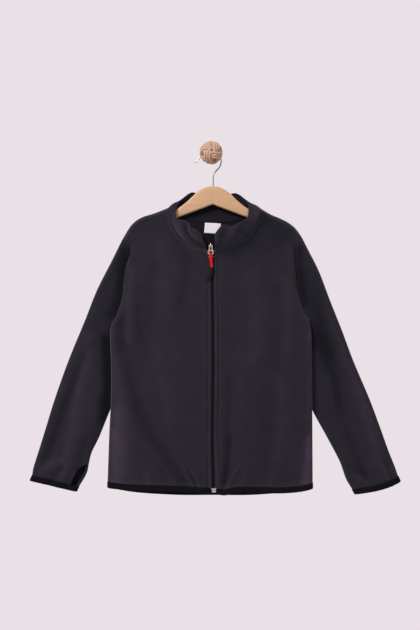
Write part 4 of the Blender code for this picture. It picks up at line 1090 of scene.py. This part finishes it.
def jersey(name, colour):
    """Elastane jersey or spun thread: fine loops, unevenly worn, with a dull shine."""
    made, tree, shader, place = new_finish(name, Roughness=0.85, Specular_IOR_Level=0.08)
    # loops of 0.8 mm, drawn at 1.2 mm so that they show, and wear over about 15 mm
    loops = add(tree, "ShaderNodeTexNoise", {"Vector": place["Object"], "Scale": 800.0, "Detail": 2.0})
    wear = add(tree, "ShaderNodeTexNoise", {"Vector": place["Object"], "Scale": 60.0, "Detail": 2.0})
    tone = summed(tree, loops.outputs["Fac"], wear.outputs["Fac"], 0.6, 1.4)[1]
    pattern_surface(tree, shader, colour, (tone, 0.7, 1.3), relief=(loops.outputs["Fac"], 0.4, 0.4))
    return made


def woven_tape(name, colour):
    """Woven polyester zip tape: a close herringbone."""
    made, tree, shader, place = new_finish(name, Roughness=0.8, Specular_IOR_Level=0.12)
    # ribs of under 1 mm, drawn 1.7 mm apart so that they show
    ribs = add(tree, "ShaderNodeTexWave", {"Vector": place["Object"], "Scale": 260.0, "Distortion": 1.5,
                                           "Detail": 1.0}, bands_direction="DIAGONAL")
    ribs = ribs.outputs["Fac"]
    pattern_surface(tree, shader, colour, (ribs, 0.7, 1.3), relief=(ribs, 0.4, 0.3))
    return made


def moulded(name, colour, roughness, grain, change=0.16):
    """Moulded nylon or rubber: one colour with a slight grain and duller worn spots.

    grain is how many grains lie along a metre, and change how much they differ in shade.
    """
    made, tree, shader, place = new_finish(name, Specular_IOR_Level=0.2)
    speck = add(tree, "ShaderNodeTexNoise", {"Vector": place["Object"], "Scale": grain, "Detail": 3.0})
    speck = speck.outputs["Fac"]
    pattern_surface(tree, shader, colour, (speck, 1 - change, 1 + change), relief=(speck, 0.2, 0.3),
                    dulled=(speck, roughness - 0.08, roughness + 0.1))
    return made


def plated(name, colour, roughness, scratch):
    """Plated or drawn metal: bright, with fine wear that dulls it unevenly.

    scratch is how many marks of wear lie along a metre.
    """
    made, tree, shader, place = new_finish(name, Metallic=1.0)
    wear = add(tree, "ShaderNodeTexNoise", {"Vector": place["Object"], "Scale": scratch, "Detail": 4.0})
    wear = wear.outputs["Fac"]
    pattern_surface(tree, shader, colour, (wear, 0.84, 1.1),
                    dulled=(wear, roughness - 0.08, roughness + 0.12))
    return made


def beech(name, colour):
    """Beech: fine straight grain with short darker flecks, under a thin satin lacquer."""
    made, tree, shader, place = new_finish(name, Coat_Weight=0.15, Coat_Roughness=0.3)
    # grain 4 to 5 mm wide and 110 mm long, and flecks of 6 mm by 1 mm
    patterns = []
    for size, detail, distortion in (((9.0, 200.0, 240.0), 4.0, 0.3), ((160.0, 900.0, 900.0), 1.0, 0.0)):
        size = add(tree, "ShaderNodeMapping", {"Vector": place["Object"], "Scale": size})
        fibres = add(tree, "ShaderNodeTexNoise", {"Vector": size.outputs["Vector"], "Scale": 1.0,
                                                  "Detail": detail, "Distortion": distortion})
        patterns.append(fibres.outputs["Fac"])
    grain, flecks = patterns
    tone = summed(tree, grain, flecks, 0.6, 1.4)[1]
    pattern_surface(tree, shader, colour, (tone, 0.88, 1.1), relief=(grain, 0.12, 0.4),
                    dulled=(grain, 0.42, 0.6))
    return made


def jute(name, colour):
    """Twisted jute: dry pale fibres, with the lay of the twist across each strand."""
    made, tree, shader, place = new_finish(name, Roughness=0.85, Specular_IOR_Level=0.15, Sheen_Weight=0.2)
    # three plies that turn once in 6 mm
    lay = add(tree, "ShaderNodeMapping", {"Vector": place["UV"], "Rotation": (0.0, 0.0, 0.7),
                                          "Scale": (900.0, 900.0, 1.0)})
    plies = add(tree, "ShaderNodeTexWave", {"Vector": lay.outputs["Vector"], "Scale": 0.22,
                                            "Distortion": 1.2, "Detail": 2.0})
    # fibres drawn about 1 mm apart, because single ones are too fine to show
    fibres = add(tree, "ShaderNodeTexNoise", {"Vector": place["Object"], "Scale": 900.0, "Detail": 3.0})
    twist, tone = summed(tree, plies.outputs["Fac"], fibres.outputs["Fac"], 0.3, 1.6)
    pattern_surface(tree, shader, colour, (tone, 0.62, 1.2), relief=(twist, 0.5, 0.6))
    return made


def satin(name, colour):
    """Woven satin label: smooth white floats with a soft shine across them."""
    made, tree, shader, place = new_finish(name, Roughness=0.45, Specular_IOR_Level=0.5, Sheen_Weight=0.3)
    # floats of 5 mm by 0.6 mm
    size = add(tree, "ShaderNodeMapping", {"Vector": place["Object"], "Scale": (200.0, 200.0, 1600.0)})
    floats = add(tree, "ShaderNodeTexNoise", {"Vector": size.outputs["Vector"], "Scale": 1.0,
                                              "Detail": 2.0}).outputs["Fac"]
    pattern_surface(tree, shader, colour, (floats, 0.88, 1.08), relief=(floats, 0.15, 0.2))
    return made


# Finishes that several pieces share: how each is made, the setting of its colour, and its other looks
SHARED = {
    "brushed_polyester_microfleece": (microfleece, "jacket_cloth", "fleece"),
    "microfleece_unbrushed_side": (microfleece, "jacket_cloth", "inside"),
    "elastane_jersey": (jersey, "jacket_cloth", "binding"),
    "spun_polyester_thread": (jersey, "jacket_cloth", "thread"),
    "nickel_plated_zinc": (plated, "jacket_zip", "metal", 0.28, 500.0),
}


def shared(name):
    """A finish that several pieces share, made where it is first asked for."""
    make, group, setting, *looks = SHARED[name]
    colour = getattr(getattr(bpy.context.scene, group), setting)
    return bpy.data.materials.get(name) or make(name, colour, *looks)


# ---------------------------------------------------------------- settings


def power_setting(name, watts):
    return bpy.props.FloatProperty(
        name=name, description="Power of the %s in watts" % name.lower(), default=watts, min=0,
    )


def colour_setting(name, description, hex_colour):
    return bpy.props.FloatVectorProperty(
        name=name, description=description, subtype="COLOR", size=3, min=0, max=1,
        default=linear(hex_colour),
    )


def length_setting(name, description, millimetres):
    return bpy.props.FloatProperty(
        name=name, description=description, default=millimetres * MM, min=0, unit="LENGTH",
        precision=4,
    )


class JacketClothSettings(bpy.types.PropertyGroup):
    """Sizes and colours of the cloth"""

    fleece: colour_setting("Fleece", "Colour of the fleece", "#201D25")
    # the inner side is darker than the outer, partly its own flatter face and partly painted shade where the
    # inside lies in shadow
    inside: colour_setting("Fleece inside", "Colour of the fleece's flatter inner side", "#131219")
    binding: colour_setting("Binding", "Colour of the jersey binding at hem and cuffs", "#0B0B11")
    thread: colour_setting("Thread", "Colour of the topstitching", "#1E1B21")
    label: colour_setting("Label", "Colour of the bare neck label", "#DCD5DC")
    thickness: length_setting("Fleece thickness", "Thickness of one layer of fleece", 2.0)
    band_height: length_setting("Binding height", "Height of the folded binding", 12.5)
    stitch: length_setting("Stitch length", "Distance from one topstitch to the next", 3.2)


class JacketZipSettings(bpy.types.PropertyGroup):
    """Sizes and colours of the zip and its pull"""

    # the tape's own black is darkened a little further as painted shade on the guard, which lies in shadow
    tape: colour_setting("Tape", "Colour of the zip tape", "#0A090B")
    coil: colour_setting("Coil", "Colour of the nylon teeth", "#141317")
    metal: colour_setting("Metal", "Colour of the slider and the pull", "#C6BAAB")
    slider: colour_setting("Slider", "Colour of the slider's blackened body", "#1E1C1D")
    grip: colour_setting("Grip", "Colour of the pull's grip", "#B60E16")
    tail: colour_setting("Tail", "Colour of the pull's tail", "#060607")
    pitch: length_setting("Tooth pitch", "Distance from one tooth to the next on one side", 1.6)


class JacketHangerSettings(bpy.types.PropertyGroup):
    """Sizes and colours of the hanger and the wall hook"""

    wood: colour_setting("Hanger wood", "Colour of the beech", "#B8936F")
    hook_wood: colour_setting("Hook wood", "Colour of the wall hook's stained beech", "#8F6A4A")
    wire: colour_setting("Wire", "Colour of the steel hook", "#A8A4A2")
    rope: colour_setting("Rope", "Colour of the jute ball", "#C39F85")
    wire_radius: length_setting("Wire radius", "Half of the hook wire's diameter", 1.5)
    strand_radius: length_setting("Strand radius", "Half of a rope strand's diameter", 2.5)


class JacketStageSettings(bpy.types.PropertyGroup):
    """Camera, light and floor"""

    surround: colour_setting("Surround", "Colour of the surroundings", "#EAE1E7")
    floor: colour_setting("Floor", "Colour of the floor", "#E4DEE2")
    key: power_setting("Key light", 92.0)
    fill: power_setting("Fill light", 22.0)
    back: power_setting("Back light", 45.0)
    lens: bpy.props.FloatProperty(name="Lens", description="Focal length in millimetres", default=85.0,
                                  min=10)


# ---------------------------------------------------------------- pieces


def fleece_panel(name, shape, node):
    """A panel of fleece from the sheet of its outer side, flatter on its inner side."""
    piece = link(name, shape, shared("brushed_polyester_microfleece"))
    thicken(piece, bpy.context.scene.jacket_cloth.thickness, shared("microfleece_unbrushed_side"))
    return finish_piece(piece, BODY, "fleece", node)


def stitch_run(name, route):
    """Topstitches down a front along a route of points in millimetres, sunk into its face."""
    count = int(run_of(route)[-1] * MM / bpy.context.scene.jacket_cloth.stitch)
    heads, middles, tails = (at(route, (np.arange(count) + share) / count) for share in STITCH_SHARES)
    shape = bmesh.new()
    for middle, head, tail in zip(middles, heads, tails):
        along = Vector(tail - head).normalized()
        up = Vector((0, -1, 0))
        up = (up - along * up.dot(along)).normalized()
        side = along.cross(up)
        turn = Matrix((side, up, along)).transposed().to_4x4()
        size = Vector((*STITCH_HALVES, np.linalg.norm(tail - head))) * MM
        spot = Matrix.Translation(Vector(middle + np.array(up) * 0.05) * MM)
        rod(shape, spot @ turn @ Matrix.Diagonal((*size, 1)), segments=6)
    return finish_piece(link(name, shape, shared("spun_polyester_thread")), BODY, "fleece")


def band(name, edge, outwards, down, node, closed=False):
    """A folded binding under a cloth's edge, from its points and the ways out of it and down."""
    height = bpy.context.scene.jacket_cloth.band_height / MM
    out, inn, top, foot = BAND_OUT, BAND_IN, BAND_TOP, -height
    middle = (out + inn) / 2
    profile = [
        (out - 0.5, top + 0.3), (out, top - 0.6), (out + 0.1, top - 3), (out + 0.05, -height / 2),
        (out, foot + 1.8), (out - 0.5, foot + 0.6), (middle, foot + 0.05), (inn + 0.5, foot + 0.6),
        (inn, foot + 1.8), (inn, -height / 2), (inn, top - 0.6), (inn + 0.5, top + 0.3),
        (middle, top + 0.1),
    ]
    # its faces are uneven, in waves of a few centimetres
    run = run_of(edge)
    wander = sum(rise * np.sin(run / length + start) for rise, length, start in BAND_WAVES)
    rows = []
    for at_out, at_down in profile:
        swell = wander[:, None] * (0.4 + 0.6 * ((-at_down / height) % 1)) * np.sign(at_out - middle)
        rows.append(edge + outwards * (at_out + swell) - down * at_down)
    shape = grid_shape(np.array(rows).swapaxes(0, 1), around=True, along=closed)
    if not closed:
        close_ends(shape)
    return finish_piece(link(name, shape, shared("elastane_jersey")), BODY, "jersey_binding", node)


class JACKET_OT_fronts(bpy.types.Operator):
    """Builds the two fronts with their raised zip facings"""

    bl_idname = "jacket.fronts"
    bl_label = "Fronts"

    def execute(self, context):
        for side, name in SIDES.items():
            points, nap = front_points(side)
            shape = grid_shape(points, facing=(0, -1, 0), nap=nap)
            piece = fleece_panel("fleece_front_" + name, shape, "front_" + name)
            out = normals(points[:4], (0, -1, 0))[0]
            trim = band("binding_front_" + name, points[0], out, DOWN, "hem_binding_front_" + name)
        return {"FINISHED"}


class JACKET_OT_back(bpy.types.Operator):
    """Builds the back"""

    bl_idname = "jacket.back"
    bl_label = "Back"

    def execute(self, context):
        points, nap = back_points()
        piece = fleece_panel("fleece_back", grid_shape(points, facing=(0, 1, 0), nap=nap), "back")
        out = normals(points[:4], (0, 1, 0))[0]
        trim = band("binding_back", points[0], out, DOWN, "hem_binding_back")
        return {"FINISHED"}


def cut_slit(shape, outline):
    """Removes the front of a sleeve inside an outline and draws the edge onto it."""
    starts, ends = outline[:-1], outline[1:]

    def inside(x, z):
        crosses = (starts[:, 1] > z) != (ends[:, 1] > z)
        slope = (ends[:, 0] - starts[:, 0]) / (ends[:, 1] - starts[:, 1] + 1e-12)
        return (crosses & (x < starts[:, 0] + (z - starts[:, 1]) * slope)).sum() % 2 == 1

    gone = []
    for face in shape.faces:
        middle = face.calc_center_median() / MM
        if middle.y < SLEEVE_Y - 1 and inside(middle.x, middle.z):
            gone.append(face)
    rim = {v for face in gone for v in face.verts}
    bmesh.ops.delete(shape, geom=gone, context="FACES")
    line = at(outline, np.linspace(0, 1, 400))
    for vert in shape.verts:
        if vert in rim and vert.is_boundary:
            here = np.array([vert.co.x, vert.co.z]) / MM
            near = line[((line - here) ** 2).sum(1).argmin()]
            vert.co.x, vert.co.z = near[0] * MM, near[1] * MM


class JACKET_OT_sleeves(bpy.types.Operator):
    """Builds the sleeves, their cuffs and the thumb slit"""

    bl_idname = "jacket.sleeves"
    bl_label = "Sleeves"

    def execute(self, context):
        for side, name in SIDES.items():
            points, nap = sleeve_points(side)
            shape = grid_shape(points, around=True, nap=nap)
            if side == RIGHT:
                cut_slit(shape, smooth(THUMB + THUMB[:1], steps=6))
            piece = fleece_panel("fleece_sleeve_" + name, shape, "sleeve_" + name)
            last = points[-1]
            axis = (last - points[-2]).mean(0)
            axis /= np.linalg.norm(axis)
            out = np.cross(np.roll(last, -1, 0) - np.roll(last, 1, 0), axis)
            out /= np.linalg.norm(out, axis=1, keepdims=True)
            out *= np.sign(((last - last.mean(0)) * out).sum(1).mean())
            trim = band("binding_cuff_" + name, last, out, axis, "cuff_binding_" + name, closed=True)
        return {"FINISHED"}


class JACKET_OT_collar(bpy.types.Operator):
    """Builds the stand collar of two layers and the neck label"""

    bl_idname = "jacket.collar"
    bl_label = "Collar and label"

    def execute(self, context):
        points, nap = collar_points()
        out = normals(points, (0, 1, 0))
        rise = points[-1] - points[-2]
        rise /= np.linalg.norm(rise, axis=1, keepdims=True)
        # over the rim the collar turns in a half circle to its inner layer
        half = COLLAR_THICK / 2
        centre = points[-1] - out[-1] * half
        turn = [centre + out[-1] * half * math.cos(a) + rise * half * math.sin(a)
                for a in np.radians([30, 60, 90, 120, 150])]
        loop = np.concatenate([points, turn, (points - out * COLLAR_THICK)[::-1]])
        # the rim's painted highlight carries over its turn; the inner layer has neither painted light nor
        # painted shade
        nap = np.concatenate([nap, nap[-1:].repeat(len(turn), 0), 0 * nap])
        shape = grid_shape(loop, along=True, nap=nap, inside=len(points) + len(turn) - 1)
        close_ends(shape)
        piece = link("fleece_collar", shape, shared("brushed_polyester_microfleece"), 70)
        piece.data.materials.append(shared("microfleece_unbrushed_side"))
        finish_piece(piece, BODY, "fleece", "collar")
        self.label(context.scene.jacket_cloth)
        return {"FINISHED"}

    def label(self, looks):
        """The bare label, hung from its top edge and curling off the back at its foot."""
        x, z = np.meshgrid(np.linspace(LABEL["left"], LABEL["right"], 18),
                           np.linspace(LABEL["bottom"], LABEL["top"], 14))
        x = x + (z - LABEL["top"]) * math.tan(math.radians(LABEL["lean"]))
        z = z - (x - LABEL["tilt_x"]) * math.tan(math.radians(LABEL["tilt"]))
        hang = (LABEL["top"] - z) / (LABEL["top"] - LABEL["bottom"])
        wave = LABEL["wave"] * np.sin(x / LABEL["wave_run"])
        lift = LABEL["off"] + LABEL["curl"] * hang**2 + wave * hang
        points = np.stack([x, back_depth(x, z) - looks.thickness / MM - lift, z], axis=-1)
        shape = grid_shape(points, facing=(0, -1, 0))
        piece = thicken(link("neck_label_satin", shape, satin("woven_satin", looks.label)), 0.4 * MM)
        finish_piece(piece, BODY, "label_satin", "neck_label")


class JACKET_OT_zip(bpy.types.Operator):
    """Builds the zip's tape, teeth, guard, slider and end box"""

    bl_idname = "jacket.zip"
    bl_label = "Zip"

    def execute(self, context):
        looks = context.scene.jacket_zip
        tape = woven_tape("woven_polyester_tape", looks.tape)
        for node, finish in (("zip_tape", tape), ("zip_guard", tape),
                             ("zip_box", shared("nickel_plated_zinc"))):
            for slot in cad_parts[node].material_slots:
                slot.material = finish
        self.teeth(looks)
        face = self.slider(looks)
        arch = [(PULL_X, face + y, z) for y, z in smooth(BRIDGE, steps=6)]
        bail = tube("slider_bridge", arch, BRIDGE_RADIUS, shared("nickel_plated_zinc"), 12)
        finish_piece(bail, BODY, "nickel_plated_zinc", "slider_bail")
        return {"FINISHED"}

    def teeth(self, looks):
        """The coil's teeth, to the left and right of the zip's middle in turn."""
        size = Matrix.Diagonal((*(Vector(TOOTH_SIZE) * MM), 1))
        shape = bmesh.new()
        for n, z in enumerate(np.arange(ZIP_FOOT, TEETH_TOP, looks.pitch / MM / 2)):
            side = 1 if n % 2 else -1
            x = float(zip_middle(z)) + side * TOOTH_X
            y = float(front_depth(np.array(x), np.array(z))) + TOOTH_DEPTH
            turn = Matrix.Rotation(math.pi / 2, 4, "Y") @ Matrix.Rotation(side * TOOTH_LEAN, 4, "X")
            rod(shape, Matrix.Translation(Vector((x, y, z)) * MM) @ turn @ size, segments=8)
        piece = link("zip_teeth", shape, moulded("nylon_coil", looks.coil, 0.42, 900.0))
        finish_piece(piece, BODY, "zip_coil_nylon", "zip_chain")

    def slider(self, looks):
        """The slider's body, with a crown over the bridge, and a near-black plate on its face as the painted
        shadow in the tab's hole. Returns its face's depth.
        """
        top = SLIDER_TOP - 8
        face = float(front_depth(zip_middle(top), np.array(float(top)))) - SLIDER_RISE
        outline = mirrored(SLIDER_HALF, PULL_X, SLIDER_TOP)
        shape = plate_shape(outline, SLIDER_THICK, face + SLIDER_THICK / 2, 0.7)
        piece = link("slider_body", shape, plated("blackened_zinc", looks.slider, 0.5, 500.0), 40)
        finish_piece(piece, BODY, "nickel_plated_zinc", "slider")
        # a near-black plate behind the tab's upper hole: painted shadow where the slot shows the slider's
        # face in shade
        shadow_plate = plate_shape([(PULL_X + x, z) for x, z in SLOT_SHADOW], 0.4, face - 0.05)
        dark = moulded("slider_lock_slot", linear("#050506"), 0.8, 300.0)
        finish_piece(link("slider_slot", shadow_plate, dark), BODY, "nickel_plated_zinc")
        return face


class JACKET_OT_pull(bpy.types.Operator):
    """Builds the zip's pull: metal tab, red grip and black tail"""

    bl_idname = "jacket.pull"
    bl_label = "Zip pull"

    def execute(self, context):
        looks = context.scene.jacket_zip
        holes = [self.oval(TAB_PIVOT + up, *sizes) for up, *sizes in TAB_HOLES]
        shape = plate_shape(mirrored(TAB_HALF, PULL_X, TAB_PIVOT), TAB_THICK, TAB_Y, 0.5, holes=holes)
        tab = link("pull_metal_tab", shape, shared("nickel_plated_zinc"), 40)
        finish_piece(tab, PULL_BODY, "nickel_plated_zinc", "pull_tab")
        red = moulded("moulded_red_rubber", looks.grip, 0.5, 600.0)
        grip = tube("pull_red_rod", smooth([(x, TAB_Y, z) for x, z in GRIP_ROD], 6), GRIP_RADIUS, red, 16)
        finish_piece(grip, PULL_BODY, "red_rubber", "pull_grip")
        # two turns of the grip's cord through the tab's lower hole, and their knot
        turn = circle(28)
        deep, high = LOOP_HALVES
        ring = np.stack([np.full(len(turn), PULL_X), TAB_Y - 0.2 + deep * np.cos(turn),
                         LOOP_Z + high * np.sin(turn)], -1)
        for n, shift in enumerate(LOOP_SHIFTS):
            loop = tube("pull_red_loop_%d" % n, ring + (shift, 0, 0), CORD_RADIUS, red, 10, closed=True)
            finish_piece(loop, PULL_BODY, "red_rubber")
        knot = bmesh.new()
        place = Matrix.Translation(Vector(KNOT) * MM) @ Matrix.Diagonal((*(Vector(KNOT_HALVES) * MM), 1))
        bmesh.ops.create_uvsphere(knot, u_segments=28, v_segments=16, radius=1, matrix=place)
        finish_piece(link("pull_red_knot", knot, red), PULL_BODY, "red_rubber")
        black = moulded("moulded_black_rubber", looks.tail, 0.75, 600.0)
        shape = plate_shape(smooth(TAIL + TAIL[:1], steps=3)[:-1], TAIL_THICK, TAB_Y, 1.2, 4)
        finish_piece(link("pull_black_tail", shape, black, 60), PULL_BODY, "black_rubber", "pull_tail")
        return {"FINISHED"}

    def oval(self, z, half_width, half_height, power):
        """A rounded hole's outline in the middle of the tab, squarer with a higher power."""
        across, up = np.cos(circle(24)), np.sin(circle(24))
        size = (np.abs(across) ** power + np.abs(up) ** power) ** (-1 / power)
        return [(PULL_X + half_width * a * s, z + half_height * u * s) for a, u, s in zip(across, up, size)]


class JACKET_OT_hanger(bpy.types.Operator):
    """Builds the hanger's wood and its wire hook"""

    bl_idname = "jacket.hanger"
    bl_label = "Hanger"

    def execute(self, context):
        looks = context.scene.jacket_hanger
        self.wood(beech("lacquered_beech", looks.wood))
        route = [(x, RIDGE_Y, z) for x, z in smooth(HOOK, steps=7)]
        steel = plated("drawn_steel_wire", looks.wire, 0.32, 900.0)
        piece = tube("hook_wire", route, looks.wire_radius / MM, steel, 14)
        finish_piece(piece, BODY, "steel_wire", "hanger_hook")
        return {"FINISHED"}

    def arm(self, side):
        """Sections of one arm, each (upper x, upper z, lower x, lower z, thickness)."""
        ridge = smooth(SHOULDER[side])
        rows = np.array(WOOD_SECTIONS, float)
        rows[:, (0, 2)] = WOOD_MIDDLE + side * rows[:, (0, 2)]
        carried = rows[:, 1] > WOOD_SECTIONS[0][1]
        rows[carried, 1] += np.interp(side * rows[carried, 0], side * ridge[:, 0], ridge[:, 1])
        return rows

    def wood(self, finish):
        """The hanger's body, lofted over its sections with round edges."""
        rows = smooth(np.vstack([self.arm(RIGHT)[:0:-1], self.arm(LEFT)]), steps=6)
        # the underside's two arms meet in a point
        apart = np.abs(rows[:, 2] - WOOD_MIDDLE)
        rows[:, 3] = np.where(apart < WOOD_POINT, WOOD_SECTIONS[0][3] - WOOD_SLOPE * apart, rows[:, 3])
        rings = []
        for upper_x, upper_z, lower_x, lower_z, thick in rows:
            middle = np.array([(upper_x + lower_x) / 2, RIDGE_Y, (upper_z + lower_z) / 2])
            up = np.array([upper_x - lower_x, 0, upper_z - lower_z])
            tall = np.linalg.norm(up)
            radius = min(WOOD_EDGE, tall / 2.05, thick / 2.05)
            ring = []
            for turn, (back, high) in enumerate(((1, 1), (1, -1), (-1, -1), (-1, 1))):
                for angle in np.linspace(math.pi / 2, 0, 8) - math.pi / 2 * turn:
                    y = back * (thick / 2 - radius) + radius * math.cos(angle)
                    z = high * (tall / 2 - radius) + radius * math.sin(angle)
                    ring.append(middle + up / tall * z + (0, y, 0))
            rings.append(ring)
        shape = grid_shape(np.array(rings), around=True)
        close_ends(shape)
        finish_piece(link("hanger_beech", shape, finish, 60), BODY, "beech", "hanger_wood")


class JACKET_OT_wall_hook(bpy.types.Operator):
    """Builds the wall hook: turned base and stem, and the woven rope ball"""

    bl_idname = "jacket.wall_hook"
    bl_label = "Wall hook"

    def execute(self, context):
        looks = context.scene.jacket_hanger
        wood = beech("stained_beech", looks.hook_wood)
        finish_piece(turned("hook_base", HOOK_BASE, wood), BODY, "stained_beech", "knob_rosette")
        finish_piece(turned("hook_stem", HOOK_STEM, wood), BODY, "stained_beech", "knob_stem")
        self.ball(looks)
        # a core of the rope's jute, made darker than the rope as painted shade, fills the gaps between the
        # strands
        arc = [(CORE_RADIUS * math.sin(a), BALL_Y + CORE_RADIUS * math.cos(a))
               for a in np.linspace(0, math.pi, 17)]
        core = turned("rope_core", arc, jute("jute_core", shaded(looks.rope, 0.55)), 32)
        finish_piece(core, BODY, "jute_rope")
        return {"FINISHED"}

    def ball(self, looks):
        """The woven ball of three strands."""
        strand = looks.strand_radius / MM
        t = circle(420)
        polar = math.radians(90) + math.radians(SWING) * np.cos(SWINGS * t)
        turn = ROUNDS * t + ROPE_START
        height = BALL_RADIUS + ROPE_WEAVE * np.sin(2 * SWINGS * t)
        line = np.stack([np.sin(polar) * np.cos(turn), -np.cos(polar), np.sin(polar) * np.sin(turn)], -1)
        run = np.roll(line, -1, 0) - np.roll(line, 1, 0)
        run /= np.linalg.norm(run, axis=1, keepdims=True)
        across = np.cross(line, run)
        about_x, about_z = np.radians(BALL_TILT)
        tilt = Matrix.Rotation(about_x, 3, "X") @ Matrix.Rotation(about_z, 3, "Z")
        shape = bmesh.new()
        for n in (-1, 0, 1):
            route = line * height[:, None] + across * n * strand * STRAND_GAP
            route *= (height / np.linalg.norm(route, axis=1))[:, None]
            route = route @ np.array(tilt).T + (0, BALL_Y, 0)
            part = grid_shape(tube_points(route, strand, 9, True), around=True, along=True)
            mesh = bpy.data.meshes.new("strand")
            part.to_mesh(mesh)
            part.free()
            shape.from_mesh(mesh)
            bpy.data.meshes.remove(mesh)
        ball = link("rope_ball", shape, jute("twisted_jute", looks.rope))
        finish_piece(ball, BODY, "jute_rope", "knob_ball")


class JACKET_OT_stitches(bpy.types.Operator):
    """Sews the topstitching on both sides of the zip"""

    bl_idname = "jacket.stitches"
    bl_label = "Topstitching"

    def execute(self, context):
        z = np.linspace(*STITCH_HEIGHTS, 220)
        for side, name in SIDES.items():
            x = zip_middle(z) + side * (ZIP_EDGE + STITCH_EDGE)
            route = np.stack([x, front_depth(x, z) - STITCH_RISE, z], axis=-1)
            stitch_run("topstitch_zip_" + name, route)
        return {"FINISHED"}


class JACKET_OT_stage(bpy.types.Operator):
    """Sets the camera, the surroundings, the lights and the floor"""

    bl_idname = "jacket.stage"
    bl_label = "Camera, light and floor"

    def execute(self, context):
        looks = context.scene.jacket_stage
        scene = context.scene
        scene.view_settings.view_transform = "Standard"
        self.surround(scene, looks)
        camera = bpy.data.objects.new("camera", bpy.data.cameras.new("camera"))
        camera.data.lens = looks.lens
        camera.data.sensor_width = 36.0
        camera.data.clip_start = 0.05
        camera.location = CAMERA
        camera.rotation_euler = (math.radians(90), 0, 0)
        scene.collection.objects.link(camera)
        scene.camera = camera
        for name, (place, size) in LAMPS.items():
            lamp = bpy.data.lights.new(name, "AREA")
            lamp.energy = getattr(looks, name)
            lamp.size = size
            lamp.color = LAMP_TINT
            light = bpy.data.objects.new(name, lamp)
            light.location = place
            light.rotation_euler = (Vector(LAMP_AIM) - Vector(place)).to_track_quat("-Z", "Y").to_euler()
            scene.collection.objects.link(light)
        shape = bmesh.new()
        bmesh.ops.create_circle(shape, cap_ends=True, segments=96, radius=FLOOR_RADIUS)
        bmesh.ops.translate(shape, vec=(0, 0, FLOOR_Z), verts=shape.verts)
        floor = link("floor", shape, moulded("painted_floor", looks.floor, 0.8, 3.0, 0.03))
        return {"FINISHED"}

    def surround(self, scene, looks):
        """Pale at eye level, dimmer towards the lamps, overhead and underfoot."""
        world = bpy.data.worlds.new("pale_surround")
        world.use_nodes = True
        tree = world.node_tree
        place = add(tree, "ShaderNodeTexCoord", {})
        parts = add(tree, "ShaderNodeSeparateXYZ", {"Vector": place.outputs["Generated"]})
        height = add(tree, "ShaderNodeMapRange", {"Value": parts.outputs["Z"], "From Min": -1.0})
        level = add(tree, "ShaderNodeValToRGB", {"Fac": height.outputs["Result"]})
        ramp = level.color_ramp.elements
        for n, (position, share) in enumerate(SURROUND):
            stop = ramp[n] if n < len(ramp) else ramp.new(position)
            stop.position = position
            stop.color = shaded(looks.surround, share)
        depth = add(tree, "ShaderNodeMapRange", {"Value": parts.outputs["Y"], "From Min": -1.0,
                                                 "From Max": 0.4, "To Min": 0.62, "To Max": 1.0})
        background = tree.nodes["Background"]
        tree.links.new(level.outputs["Color"], background.inputs["Color"])
        tree.links.new(depth.outputs["Result"], background.inputs["Strength"])
        scene.world = world


PIECES = (
    JACKET_OT_stage, JACKET_OT_fronts, JACKET_OT_back, JACKET_OT_sleeves, JACKET_OT_collar,
    JACKET_OT_zip, JACKET_OT_pull, JACKET_OT_stitches, JACKET_OT_hanger, JACKET_OT_wall_hook,
)
SETTINGS = {
    "jacket_cloth": JacketClothSettings,
    "jacket_zip": JacketZipSettings,
    "jacket_hanger": JacketHangerSettings,
    "jacket_stage": JacketStageSettings,
}


class JACKET_PT_panel(bpy.types.Panel):
    """Lists the jacket's settings and the steps that build it"""

    bl_label = "Fleece jacket"
    bl_idname = "JACKET_PT_panel"
    bl_space_type = "VIEW_3D"
    bl_region_type = "UI"
    bl_category = "Jacket"

    def draw(self, context):
        for name, group in SETTINGS.items():
            box = self.layout.box()
            box.label(text=group.__doc__)
            for setting in group.__annotations__:
                box.prop(getattr(context.scene, name), setting)
        for piece in PIECES:
            self.layout.operator(piece.bl_idname)


def register():
    for part in (*SETTINGS.values(), *PIECES, JACKET_PT_panel):
        bpy.utils.register_class(part)
    for name, group in SETTINGS.items():
        setattr(bpy.types.Scene, name, bpy.props.PointerProperty(type=group))


def unregister():
    for name in SETTINGS:
        delattr(bpy.types.Scene, name)
    for part in (JACKET_PT_panel, *reversed(PIECES), *SETTINGS.values()):
        bpy.utils.unregister_class(part)


def main():
    register()
    for piece in PIECES:
        step = getattr(bpy.ops.jacket, piece.bl_idname.split(".")[1])
        step()


if __name__ == "__main__":
    main()
